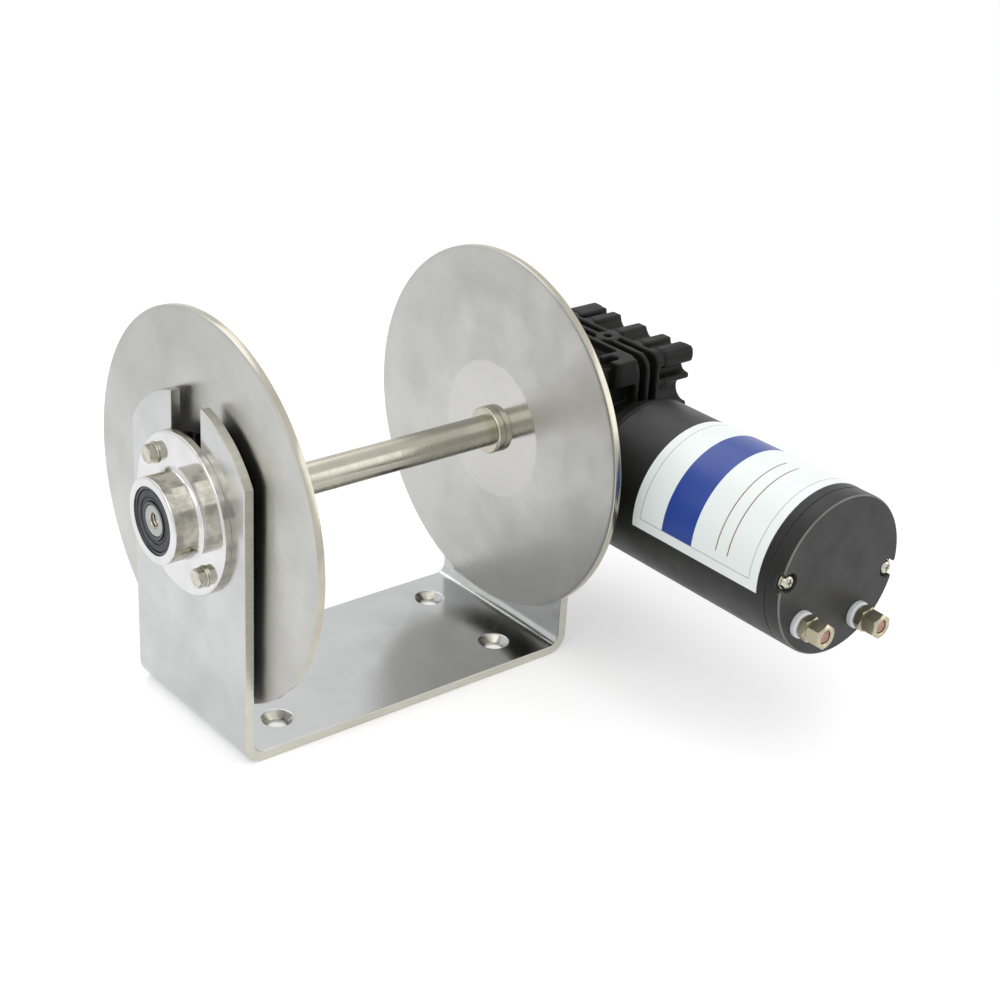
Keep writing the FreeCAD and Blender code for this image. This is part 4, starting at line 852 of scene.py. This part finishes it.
def repeat_tree():
    """One piece at each point, tilted to its direction and turned by chance about its own axis."""
    tree, given = new_tree("Repeated piece", {
        "Piece": "Object", "Tilt": "Vector", "First turn": "Float", "Most turn": "Float",
        "Seed": "Int", "Material": "Material"})
    piece = add_node(tree, "GeometryNodeObjectInfo", {"Object": given["Piece"]})
    placed = add_node(tree, "GeometryNodeInstanceOnPoints", {
        "Points": given["Geometry"], "Instance": piece.outputs["Geometry"],
        "Rotation": given["Tilt"]})
    chance = add_node(tree, "FunctionNodeRandomValue", {
        "Min": given["First turn"], "Max": given["Most turn"], "Seed": given["Seed"]})
    spin = add_node(tree, "ShaderNodeCombineXYZ", {"Z": chance.outputs[1]})
    turned = add_node(tree, "GeometryNodeRotateInstances", {
        "Instances": placed.outputs["Instances"], "Rotation": spin.outputs["Vector"],
        "Local Space": True})
    return end_tree(tree, turned.outputs["Instances"], given["Material"])


def thread_tree():
    """A thread's ridge along a helix, tilted to its direction and moved to its start."""
    tree, given = new_tree("Thread", {
        "Radius": "Float", "Pitch": "Float", "Length": "Float", "Depth": "Float",
        "Tilt": "Vector", "Start": "Vector", "Material": "Material"})
    helix = add_node(tree, "GeometryNodeCurveSpiral", {
        "Resolution": 40, "Rotations": maths(tree, "DIVIDE", given["Length"], given["Pitch"]),
        "Start Radius": given["Radius"], "End Radius": given["Radius"],
        "Height": given["Length"]})
    upright = add_node(tree, "GeometryNodeSetCurveNormal", {"Curve": helix.outputs["Curve"]},
                       mode="Z_UP")
    crest = add_node(tree, "GeometryNodeCurvePrimitiveCircle", {
        "Resolution": 6, "Radius": given["Depth"]})
    ridge = add_node(tree, "GeometryNodeCurveToMesh", {
        "Curve": upright.outputs["Curve"], "Profile Curve": crest.outputs["Curve"],
        "Fill Caps": True})
    moved = add_node(tree, "GeometryNodeTransform", {
        "Geometry": ridge.outputs["Mesh"], "Translation": given["Start"],
        "Rotation": given["Tilt"]})
    return end_tree(tree, moved.outputs["Geometry"], given["Material"])


def rule_tree():
    """Printed lines that follow the label round the motor, side by side along it."""
    tree, given = new_tree("Ruled lines", {
        "Count": "Int", "Pitch": "Float", "Start": "Vector", "Radius": "Float",
        "First angle": "Float", "Sweep": "Float", "Width": "Float", "Thickness": "Float",
        "Material": "Material"})
    step = add_node(tree, "ShaderNodeCombineXYZ", {
        "Y": maths(tree, "MULTIPLY", given["Pitch"], -1.0)})
    row = add_node(tree, "GeometryNodeMeshLine", {
        "Count": given["Count"], "Start Location": given["Start"],
        "Offset": step.outputs["Vector"]})
    arc = add_node(tree, "GeometryNodeCurveArc", {
        "Resolution": 60, "Radius": given["Radius"], "Start Angle": given["First angle"],
        "Sweep Angle": given["Sweep"]})
    strip = add_node(tree, "GeometryNodeCurvePrimitiveQuadrilateral", {
        "Width": given["Thickness"], "Height": given["Width"]})
    line = add_node(tree, "GeometryNodeCurveToMesh", {
        "Curve": arc.outputs["Curve"], "Profile Curve": strip.outputs["Curve"],
        "Fill Caps": True})
    placed = add_node(tree, "GeometryNodeInstanceOnPoints", {
        "Points": row.outputs["Mesh"], "Instance": line.outputs["Mesh"],
        "Rotation": (math.pi / 2, 0.0, 0.0)})
    return end_tree(tree, placed.outputs["Instances"], given["Material"])


TILTS = {"-X": (0.0, -math.pi / 2, 0.0), "+X": (0.0, math.pi / 2, 0.0), "-Y": (math.pi / 2, 0.0, 0.0)}
TURN_SEED = 3


def repeated(name, mesh, points, direction, material, most_turn=math.pi / 3, first_turn=0.0):
    """The same piece at several places, made by the repeat tree."""
    source = new_object(name + "_one", mesh)
    places = bpy.data.meshes.new(name + "_places")
    places.from_pydata([tuple(point) for point in points], [], [])
    item = run_tree(name, repeat_tree(), places,
                    {"Piece": source, "Tilt": TILTS[direction], "First turn": first_turn,
                     "Most turn": most_turn, "Seed": TURN_SEED, "Material": material})
    bpy.data.objects.remove(source)
    smooth(item.data)
    return item


def thread(name, **values):
    """A thread's ridge as an object, from the values of its tree."""
    return run_tree(name, thread_tree(), bpy.data.meshes.new(name), values)


def joined(name, items, material):
    """One object with the meshes of several, which are removed."""
    work = bmesh.new()
    for item in items:
        work.from_mesh(item.data)
    mesh = bpy.data.meshes.new(name)
    work.to_mesh(mesh)
    work.free()
    for item in items:
        bpy.data.objects.remove(item)
    result = new_object(name, mesh)
    smooth(mesh)
    set_materials(result, material)
    return result


# Screws, bolts, nuts and washers: they stand on the plane z = 0, with their shank below it
def shank_rings(radius, shank):
    return circles((radius - TIP_CHAMFER, -shank), (radius, -shank + TIP_CHAMFER), (radius, 0.0))


def bolt_mesh(flats, head, shank_radius, shank):
    """A hexagon head with its chamfer and a faint dish in its top."""
    crown = flats / 2 * 0.96
    slope = 0.55
    dish = 0.0001
    rings = shank_rings(shank_radius, shank)
    rings += [hexagon_ring(flats, 0.0), hexagon_ring(flats, head, slope, crown)]
    rings += circles((crown, head), (crown * 0.8, head), (crown * 0.75, head - dish))
    return rings_mesh("bolt", rings)


def nut_mesh(flats, height, bore):
    """A hexagon nut chamfered at both ends, with a countersunk bore."""
    crown = flats / 2 * 0.88
    slope = 0.62
    sink = 0.0006
    rings = circles((bore, sink), (bore + sink, 0.0), (crown, 0.0))
    rings += [hexagon_ring(flats, 0.0, -slope, crown), hexagon_ring(flats, height, slope, crown)]
    rings += circles((crown, height), (bore + sink, height), (bore, height - sink))
    return rings_mesh("nut", rings, closed=True)


def socket_screw_mesh(radius, head, socket, shank_radius, shank):
    """A cylinder head with rounded rim and a hexagon socket."""
    rim = 0.0005
    mouth = 0.0003
    floor = head - head * 0.55
    rings = shank_rings(shank_radius, shank)
    rings += circles((radius - rim / 2, 0.0), (radius, rim / 2), (radius, head - rim),
                     (radius - rim * 0.3, head - rim * 0.3), (radius - rim, head),
                     (socket / 2 * 1.2, head))
    rings += [hexagon_ring(socket, head - mouth), hexagon_ring(socket, floor)]
    rings += circles((socket * 0.1, floor - rim))
    return rings_mesh("socket_screw", rings)


def pan_screw_mesh(radius, head, shank_radius, shank):
    """A domed head with a cross recess worked as a shallow star."""
    dome = [(0.97, 0.0), (1.0, 0.18), (0.95, 0.55), (0.8, 0.83), (0.6, 0.97)]
    rings = circles((shank_radius, -shank), (shank_radius, 0.0))
    rings += circles(*[(radius * out, head * up) for out, up in dome])
    rings += [star_ring(radius * 0.5, radius * 0.16, head),
              star_ring(radius * 0.36, radius * 0.12, head * 0.45)]
    rings += circles((radius * 0.05, head * 0.35))
    return rings_mesh("pan_screw", rings)


def washer_mesh(radius, bore, thickness):
    edge = min(0.0002, thickness * 0.25)
    rings = circles((bore, 0.0), (radius - edge, 0.0), (radius, edge), (radius, thickness - edge),
                    (radius - edge, thickness), (bore, thickness))
    return rings_mesh("washer", rings, closed=True)


def fasten(context, node, mesh, plane, direction, material, most_turn=math.pi / 3):
    """One screw, bolt or washer at each solid of a node, standing on a plane."""
    axis = "XY".index(direction[1])
    item = repeated(node + "_skin", mesh, middles(node, axis, plane), direction,
                    finish_of(context, material), most_turn)
    seat(item, node, "bolt_stainless")


def bolt_down(context, bolts, washers, direction, radius, one_bolt, most_turn=math.pi / 3):
    """Bolts with washers under their heads. one_bolt makes a bolt from the heights of its head and
    shank."""
    axis = "XY".index(direction[1])
    across = 1 - axis
    top, tip = (corner[axis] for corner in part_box(bolts))
    face, plate = (corner[axis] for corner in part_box(washers))
    fasten(context, bolts, one_bolt(face - top, tip - face), face, direction, "nickel", most_turn)
    low, high = solids(washers)[0]
    mesh = washer_mesh((high[across] - low[across]) / 2, radius + BORE_GAP, high[axis] - low[axis])
    fasten(context, washers, mesh, plate, direction, "nickel")


# Pieces
def build_frame(context):
    """Wide faces keep the mill's finish, and the cut edges of the cheeks get their own."""
    item = dressed("frame", context.scene.winch_sizes.plate_edge)
    finish(context, item, "sheet", "cut_edge")
    low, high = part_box("frame")
    base_top = low.z + 0.0062
    half_way = high.z * 0.5
    facing = 0.75
    upwards = 0.8
    leaning = 0.35

    def is_edge(middle, normal):
        on_base = abs(normal.z) > upwards and middle.z < base_top
        outwards = abs(normal.x) < facing and abs(normal.y) + abs(normal.z) > facing
        return outwards and not on_base and (abs(normal.y) > leaning or middle.z > half_way)

    paint_faces(item, is_edge, 1)
    seat(item, "frame", "frame_stainless")


def build_discs(context):
    """Discs with softly rounded rims."""
    centre = drum_centre()
    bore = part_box("drum_shaft")[1].z - centre.z
    edge = context.scene.winch_sizes.disc_edge
    slope = 0.3 * edge
    for name in ("left_disc", "right_disc"):
        low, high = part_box(name)
        radius = high.z - centre.z
        half = [(0.0, bore), (0.0, radius - 3 * edge), (0.0, radius - edge),
                (slope, radius - slope), (edge, radius)]
        profile = [(low.x + x, out) for x, out in half]
        profile += [(high.x - x, out) for x, out in reversed(half)]
        item = new_object(name + "_skin", lathe(name, profile, centre))
        smooth(item.data)
        even_normals(item)
        finish(context, item, "disc", "rim")
        paint_faces(item, lambda middle, normal: abs(normal.x) < 0.9, 1)
        seat(item, name, "disc_stainless")


def build_shaft(context):
    """The shaft with its ground end face, and a collar at each disc."""
    sizes = context.scene.winch_sizes
    item = dressed("drum_shaft", sizes.machined_edge)
    finish(context, item, "bar", "steel")
    paint_faces(item, lambda middle, normal: abs(normal.x) > 0.9, 1)
    seat(item, "drum_shaft", "polished_stainless")
    centre = drum_centre()
    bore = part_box("drum_shaft")[1].z - centre.z
    rounding = 0.0004
    for name, inward in (("left_collar", -1), ("right_collar", 1)):
        low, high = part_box(name)
        radius = high.z - centre.z
        start, end = (low.x, high.x) if inward > 0 else (high.x, low.x)
        profile = [(start, bore), (start, radius - sizes.collar_edge),
                   (start + inward * sizes.collar_edge, radius), (end, radius), (end, bore)]
        item = new_object(name + "_skin", lathe(name, rounded(profile, rounding), centre))
        smooth(item.data)
        finish(context, item, "bar")
        seat(item, name, "polished_stainless")


def build_shaft_thread(context):
    """Thread in the tapped hole in the end of the shaft."""
    sizes = context.scene.winch_sizes
    centre = drum_centre()
    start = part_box("drum_shaft")[0].x + HOLE_MOUTH
    item = thread("shaft_end_thread", Radius=HOLE_CORE, Pitch=sizes.hole_pitch, Length=HOLE_DEPTH,
                  Depth=sizes.thread_depth, Tilt=TILTS["+X"], Start=(start, centre.y, centre.z),
                  Material=finish_of(context, "bar"))
    smooth(item.data)
    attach(item, "drum")


def build_hub(context):
    """Flat faces mirror the light, and the turned sides are warmer and darker, with painted reflections
    streaked along them.
    """
    item = dressed("hub", context.scene.winch_sizes.machined_edge)
    finish(context, item, "hub", "hub_side")
    paint_faces(item, lambda middle, normal: abs(normal.x) < 0.3, 1)
    seat(item, "hub", "polished_stainless")


def build_bearing(context):
    """Rings of the hub's bearing and the rubber seals between them."""
    dress_nodes(context, ["hub_bearing_outer_ring", "hub_bearing_inner_ring"],
                context.scene.winch_sizes.machined_edge, "bearing", "bearing_steel")
    centre = drum_centre()
    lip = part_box("hub_bearing_inner_ring")[1].z - centre.z - LIP_WIDTH
    seals = []
    for index, (low, high) in enumerate(solids("hub_bearing_seals")):
        rim = high.z - centre.z
        face, back, into = (low.x, high.x, 1) if index == 0 else (high.x, low.x, -1)
        profile = [(back, lip)]
        profile += [(face + into * behind, lip + out) for behind, out in SEAL_LIP]
        profile += [(face + into * behind, rim - down) for behind, down in SEAL_RIM]
        profile += [(back, rim)]
        seals.append(new_object(f"seal_{index}", lathe(f"seal_{index}", profile, centre)))
    item = joined("hub_bearing_seals_skin", seals, finish_of(context, "rubber"))
    seat(item, "hub_bearing_seals", "seal_rubber")


def build_hub_bolts(context):
    flats = context.scene.winch_sizes.hub_bolt_flats
    bolt_down(context, "hub_bolts", "hub_washers", "-X", HUB_BOLT_RADIUS,
              lambda head, shank: bolt_mesh(flats, head, HUB_BOLT_RADIUS, shank))


def build_gearbox(context):
    sizes = context.scene.winch_sizes
    for name in ("gearbox_case", "gearbox_cover", "motor_flange"):
        item = cast_skin(name, sizes.cast_cell, sizes.cast_passes)
        finish(context, item, "cast")
        seat(item, name, "gearbox_aluminium")
    dress_nodes(context, ["worm_end_cap"], sizes.machined_edge, "cast", "gearbox_aluminium")
    dress_nodes(context, ["cover_gasket"], 0.0, "fibre", "gasket_fibre")
    dress_nodes(context, ["output_seal"], sizes.machined_edge, "rubber", "seal_rubber")


def build_gearbox_screws(context):
    """Socket screws of the cover, and the bolts that hold the gearbox."""
    sizes = context.scene.winch_sizes
    low, high = solids("cover_screws")[0]
    head = sizes.socket_flats / SOCKET_SHARE
    under = high.x - head
    mesh = socket_screw_mesh(sizes.cover_screw_head / 2, head, sizes.socket_flats, head / 2,
                             under - low.x)
    fasten(context, "cover_screws", mesh, under, "+X", "cast")
    flats = sizes.mount_bolt_flats
    bolt_down(context, "mounting_bolts", "mounting_washers", "-X", MOUNT_BOLT_RADIUS,
              lambda head, shank: bolt_mesh(flats, head, MOUNT_BOLT_RADIUS, shank))
    dress_nodes(context, ["motor_flange_screws"], sizes.machined_edge, "nickel", "bolt_stainless")


def build_motor(context):
    """The tube, and the end cap with its enamelled side and a painted highlight on its edge."""
    sizes = context.scene.winch_sizes
    dress_nodes(context, ["motor_tube"], sizes.machined_edge, "enamel", "motor_enamel")
    item = dressed("end_cap", sizes.cap_edge)
    finish(context, item, "cap", "enamel", "cap_rub")
    centre = motor_centre()
    low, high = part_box("end_cap")
    rim = 1.5 * sizes.cap_edge
    reach = high.x - centre.x - rim
    sideways = 0.3
    endways = 0.95

    def outermost(middle):
        return math.hypot(middle.x - centre.x, middle.z - centre.z) > reach

    def on_side(middle, normal):
        return abs(normal.y) < sideways and outermost(middle)

    def on_edge(middle, normal):
        leaning = sideways <= abs(normal.y) < endways
        return leaning and outermost(middle) and middle.y < low.y + rim

    paint_faces(item, on_side, 1)
    # The chamfer's faces get the lighter finish, a painted highlight along the cap's edge.
    paint_faces(item, on_edge, 2)
    seat(item, "end_cap", "cap_aluminium")


def build_cap_screws(context):
    bolt_down(context, "through_bolts", "through_bolt_washers", "-Y", CAP_SCREW_RADIUS,
              lambda head, shank: pan_screw_mesh(CAP_HEAD_RADIUS, head, CAP_SCREW_RADIUS, shank),
              math.pi / 2)


def build_terminals(context):
    """Two nuts on each stud, with the studs and the bushes below them."""
    sizes = context.scene.winch_sizes
    material = finish_of(context, "nut_plate")
    low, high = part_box("terminal_nuts")
    inner = (high.y, sizes.inner_nut, sizes.inner_nut_turn)
    outer = (high.y - sizes.inner_nut, high.y - low.y - sizes.inner_nut, sizes.outer_nut_turn)
    nuts = []
    for face, height, turn in (inner, outer):
        mesh = nut_mesh(sizes.nut_flats, height - NUT_GAP, sizes.stud_radius + NUT_GAP)
        nuts.append(repeated(f"terminal_nuts_{len(nuts)}", mesh, middles("terminal_studs", 1, face),
                             "-Y", material, turn, first_turn=turn))
    item = joined("terminal_nuts_skin", nuts, material)
    seat(item, "terminal_nuts", "bolt_stainless")
    dress_nodes(context, ["terminal_bushes"], sizes.machined_edge, "nylon", "white_nylon")
    dress_nodes(context, ["terminal_studs"], sizes.stud_edge, "copper", "stud_copper")


def build_stud_threads(context):
    """Threads on the terminal studs."""
    sizes = context.scene.winch_sizes
    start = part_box("terminal_bushes")[0].y
    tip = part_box("terminal_studs")[0].y
    material = finish_of(context, "copper")
    parts = [thread("stud_thread", Radius=sizes.stud_radius - sizes.thread_depth,
                    Pitch=sizes.stud_pitch, Length=start - tip - STUD_TIP,
                    Depth=sizes.thread_depth, Tilt=TILTS["-Y"], Start=tuple(place),
                    Material=material)
             for place in middles("terminal_studs", 1, start)]
    item = joined("stud_threads", parts, material)
    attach(item, "frame_and_drive")


def marks(values, digits):
    """Values in rising order, each only once."""
    return sorted(set(round(value, digits) for value in values))


def film_faces(tall, wide):
    """Faces of a grid of points, then of the wall from its edge to a second grid behind it."""
    faces = []
    for i in range(tall - 1):
        for j in range(wide - 1):
            a = i * wide + j
            faces.append((a, a + 1, a + wide + 1, a + wide))
    loop = list(range(wide)) + [i * wide + wide - 1 for i in range(1, tall)]
    loop += [(tall - 1) * wide + j for j in range(wide - 2, -1, -1)]
    loop += [i * wide for i in range(tall - 2, 0, -1)]
    base = wide * tall
    for here, there in zip(loop, loop[1:] + loop[:1]):
        faces.append((here, there, base + there, base + here))
    return faces


def film_mesh(name, columns, rows, centre, radius, tube):
    """Film that lies round the motor between two radii, as an object."""
    vertices = [(centre.x + shell * math.cos(row), y, centre.z + shell * math.sin(row))
                for shell in (radius, tube) for y in columns for row in rows]
    mesh = bpy.data.meshes.new(name)
    mesh.from_pydata(vertices, [], film_faces(len(columns), len(rows)))
    return new_object(name, mesh)


def build_label(context):
    """Film on the motor tube: a border line and one blue band, both printed flat."""
    sizes = context.scene.winch_sizes
    centre = motor_centre()
    low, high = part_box("motor_label")
    radius = centre.x - low.x
    lower, upper = label_angles(radius, centre, low, high)
    inset = sizes.label_border
    line = sizes.border_width
    band_top = high.y - sizes.band_start
    band_end = band_top - sizes.band_width
    band_low = lower - sizes.band_low
    rims = (0.0, inset, inset + line)
    columns = marks([high.y - rim for rim in rims] + [low.y + rim for rim in rims]
                    + [band_top, band_end], 6)
    rows = marks([lower - rim / radius for rim in rims] + [upper + rim / radius for rim in rims]
                 + [lower + (upper - lower) * step / LABEL_STEPS for step in range(1, LABEL_STEPS)]
                 + [band_low], 5)[::-1]

    def ink(y, row):
        edge = min(high.y - y, y - low.y, (lower - row) * radius, (row - upper) * radius)
        if inset < edge < inset + line:
            return 2
        in_band = band_end < y < band_top and upper + (inset + line) / radius < row < band_low
        return 1 if in_band else 0

    item = film_mesh("motor_label_skin", columns, rows, centre, radius,
                     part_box("motor_tube")[1].z - centre.z)
    finish(context, item, "film", "band", "grey_ink")
    faces = iter(item.data.polygons)
    for y, next_y in zip(columns, columns[1:]):
        for row, next_row in zip(rows, rows[1:]):
            next(faces).material_index = ink((y + next_y) / 2, (row + next_row) / 2)
    rework(item.data, drop_loose_points, turn_outwards)
    smooth(item.data)
    seat(item, "motor_label", "label_film")
    build_rules(context, centre, radius, lower, high.y)


def label_angles(radius, centre, low, high):
    """Angles of the label's lower and upper end, measured from +X towards +Z."""
    lower = math.pi + math.asin((centre.z - low.z) / radius)
    upper = math.acos((high.x - centre.x) / radius)
    return lower, upper


def build_rules(context, centre, radius, lower, film_top):
    """Plain ruled lines on the label."""
    sizes = context.scene.winch_sizes
    if not sizes.rule_count:
        return
    item = run_tree("label_rules", rule_tree(), bpy.data.meshes.new("label_rules"),
                    {"Count": sizes.rule_count, "Pitch": sizes.rule_pitch,
                     "Start": (centre.x, film_top - sizes.rule_start, centre.z),
                     "Radius": radius, "First angle": lower - sizes.rule_low,
                     "Sweep": -sizes.rule_sweep, "Width": sizes.rule_width,
                     "Thickness": sizes.rule_height, "Material": finish_of(context, "brown_ink")})
    smooth(item.data)
    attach(item, "frame_and_drive")


INNER = {
    "steel": ["output_bearing_outer_rings", "output_bearing_inner_rings", "worm_bearing_outer_rings",
              "worm_bearing_inner_rings", "hub_bearing_balls", "output_bearing_balls",
              "worm_bearing_balls", "wheel_key", "shaft_clip", "worm_shaft", "spur_gear",
              "spur_gear_key", "pinion", "armature_shaft", "wheel_spacers", "armature_core",
              "brush_springs"],
    "brass": ["hub_bearing_cage", "output_bearing_cages", "worm_bearing_cages", "brush_holders"],
    "bronze": ["worm_wheel", "drive_end_bush", "cap_bush"],
    "copper": ["commutator"],
    "winding": ["armature_windings"],
    "ferrite": ["field_magnets"],
    "board": ["brush_plate"],
    "carbon": ["brushes"],
}


def build_inner(context):
    """Finishes of the parts that the housings hide."""
    for material, names in INNER.items():
        for name in names:
            finish(context, frame["nodes"][name], material)


# Stage
def seen_factor(tree):
    """1 for what is seen directly, in a mirror or through glass, and 0 for what only gives light."""
    path = add_node(tree, "ShaderNodeLightPath").outputs
    seen = maths(tree, "MAXIMUM", path["Is Camera Ray"], path["Is Glossy Ray"])
    return maths(tree, "MAXIMUM", seen, path["Is Transmission Ray"])


def floor_material(stage, tint):
    """Matt white floor that catches the shadow near the winch and fades to plain white away from
    it. What lights the winch from below is the floor without its glow."""
    material, tree, shader = start_material("Studio floor, matt white", tint, 0.9)
    away = vector_maths(tree, "LENGTH", object_point(tree), result="Value")
    fade = remap(tree, away, 0.0, 1.0, stage.fade_start, stage.fade_end,
                 interpolation_type="SMOOTHSTEP")
    glow = add_node(tree, "ShaderNodeEmission", {"Strength": stage.floor_glow})
    white = add_node(tree, "ShaderNodeEmission", {"Strength": 1.0})
    matt = shader.outputs["BSDF"]
    lit = add_node(tree, "ShaderNodeAddShader", {0: matt, 1: glow.outputs["Emission"]})
    faded = add_node(tree, "ShaderNodeMixShader", {0: fade, 1: lit.outputs["Shader"],
                                                   2: white.outputs["Emission"]})
    final = add_node(tree, "ShaderNodeMixShader", {0: seen_factor(tree), 1: matt,
                                                   2: faded.outputs["Shader"]})
    tree.links.new(final.outputs["Shader"], tree.nodes["Material Output"].inputs["Surface"])
    return material


def build_floor(context):
    stage = context.scene.winch_stage
    half = stage.floor_size / 2
    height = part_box("frame")[0].z
    mesh = bpy.data.meshes.new("floor")
    mesh.from_pydata([(-half, -half, height), (half, -half, height), (half, half, height),
                      (-half, half, height)], [], [(0, 1, 2, 3)])
    item = new_object("floor", mesh)
    set_materials(item, floor_material(stage, tuple(context.scene.winch_colours.floor)))


def build_world(context):
    """White all round where it is seen, and a softer white where it only gives light."""
    world = bpy.data.worlds.new("Studio")
    world.use_nodes = True
    tree = world.node_tree
    level = remap(tree, seen_factor(tree), context.scene.winch_stage.ambient, 1.0, 0.0, 1.0)
    back = tree.nodes["Background"]
    back.inputs["Color"].default_value = (1.0, 1.0, 1.0, 1.0)
    tree.links.new(level, back.inputs["Strength"])
    context.scene.world = world


def add_lamp(name, place, power, size):
    """A square lamp that looks at the lamps' common point."""
    data = bpy.data.lights.new(name, "AREA")
    data.energy = power
    data.shape = "SQUARE"
    data.size = size
    item = new_object(name, data)
    place = Vector(place)
    turn = (place - Vector(LAMP_TARGET)).to_track_quat("Z", "Y").to_matrix().to_4x4()
    item.matrix_world = Matrix.Translation(place) @ turn
    return item


def build_lamps(context):
    stage = context.scene.winch_stage
    lamps = [add_lamp(name + "_lamp", place, getattr(stage, name), size)
             for name, (place, size) in LAMPS.items()]


def build_camera(context):
    """The camera of the photo, from its direction, its roll and its place beside the winch."""
    stage = context.scene.winch_stage
    side = Vector((math.cos(stage.azimuth), math.sin(stage.azimuth), 0.0))
    back = Vector((math.sin(stage.azimuth) * math.cos(stage.elevation),
                   -math.cos(stage.azimuth) * math.cos(stage.elevation), math.sin(stage.elevation)))
    up = back.cross(side)
    right = side * math.cos(stage.roll) + up * math.sin(stage.roll)
    over = up * math.cos(stage.roll) - side * math.sin(stage.roll)
    place = Vector((0.0, 0.0, stage.aim_height)) + right * stage.shift_right
    place += over * stage.shift_up + back * stage.distance
    data = bpy.data.cameras.new("Camera")
    data.lens = stage.focal
    data.sensor_width = SENSOR_WIDTH
    camera = new_object("Camera", data)
    turn = Matrix((right, over, back)).transposed().to_4x4()
    camera.matrix_world = Matrix.Translation(place) @ turn
    context.scene.camera = camera


def build_stage(context):
    context.scene.view_settings.view_transform = "Standard"
    build_floor(context)
    build_world(context)
    build_lamps(context)
    build_camera(context)


class PieceOperator:
    """What the operators share: each runs its own builders in turn."""
    bl_options = {"REGISTER", "UNDO"}

    def execute(self, context):
        for build in self.builders:
            build(context)
        return {"FINISHED"}


class WINCH_OT_frame(PieceOperator, bpy.types.Operator):
    """Builds the bent plate"""
    bl_idname = "winch.frame"
    bl_label = "Frame"
    builders = (build_frame,)


class WINCH_OT_drum(PieceOperator, bpy.types.Operator):
    """Builds the discs, the shaft and its collars"""
    bl_idname = "winch.drum"
    bl_label = "Drum"
    builders = (build_discs, build_shaft, build_shaft_thread)


class WINCH_OT_hub(PieceOperator, bpy.types.Operator):
    """Builds the hub, its bearing and its bolts"""
    bl_idname = "winch.hub"
    bl_label = "Hub"
    builders = (build_hub, build_bearing, build_hub_bolts)


class WINCH_OT_gearbox(PieceOperator, bpy.types.Operator):
    """Builds the gearbox and its screws"""
    bl_idname = "winch.gearbox"
    bl_label = "Gearbox"
    builders = (build_gearbox, build_gearbox_screws)


class WINCH_OT_motor(PieceOperator, bpy.types.Operator):
    """Builds the motor's tube, its cap and the cap's screws"""
    bl_idname = "winch.motor"
    bl_label = "Motor"
    builders = (build_motor, build_cap_screws)


class WINCH_OT_terminals(PieceOperator, bpy.types.Operator):
    """Builds the studs, nuts and bushes of the motor's terminals"""
    bl_idname = "winch.terminals"
    bl_label = "Terminals"
    builders = (build_terminals, build_stud_threads)


class WINCH_OT_label(PieceOperator, bpy.types.Operator):
    """Builds the label on the motor"""
    bl_idname = "winch.label"
    bl_label = "Label"
    builders = (build_label,)


class WINCH_OT_inner(PieceOperator, bpy.types.Operator):
    """Gives the inner parts their finishes"""
    bl_idname = "winch.inner"
    bl_label = "Inner parts"
    builders = (build_inner,)


class WINCH_OT_stage(PieceOperator, bpy.types.Operator):
    """Builds the floor, the world, the lamps and the camera"""
    bl_idname = "winch.stage"
    bl_label = "Studio"
    builders = (build_stage,)


OPERATORS = (WINCH_OT_frame, WINCH_OT_drum, WINCH_OT_hub, WINCH_OT_gearbox, WINCH_OT_motor,
             WINCH_OT_terminals, WINCH_OT_label, WINCH_OT_inner, WINCH_OT_stage)


class WINCH_PT_panel(bpy.types.Panel):
    """Lists the winch's pieces in the sidebar"""
    bl_idname = "WINCH_PT_panel"
    bl_label = "Anchor winch"
    bl_space_type = "VIEW_3D"
    bl_region_type = "UI"
    bl_category = "Winch"

    def draw(self, context):
        for operator in OPERATORS:
            self.layout.operator(operator.bl_idname)


GROUPS = {"winch_sizes": WinchSizes, "winch_colours": WinchColours, "winch_stage": WinchStage}
CLASSES = (*GROUPS.values(), *OPERATORS, WINCH_PT_panel)


def register():
    for item in CLASSES:
        bpy.utils.register_class(item)
    for name, group in GROUPS.items():
        setattr(bpy.types.Scene, name, PointerProperty(type=group))


def unregister():
    for name in GROUPS:
        delattr(bpy.types.Scene, name)
    for item in reversed(CLASSES):
        bpy.utils.unregister_class(item)


def main():
    register()
    for operator in OPERATORS:
        group, name = operator.bl_idname.split(".")
        getattr(getattr(bpy.ops, group), name)()


if __name__ == "__main__":
    main()
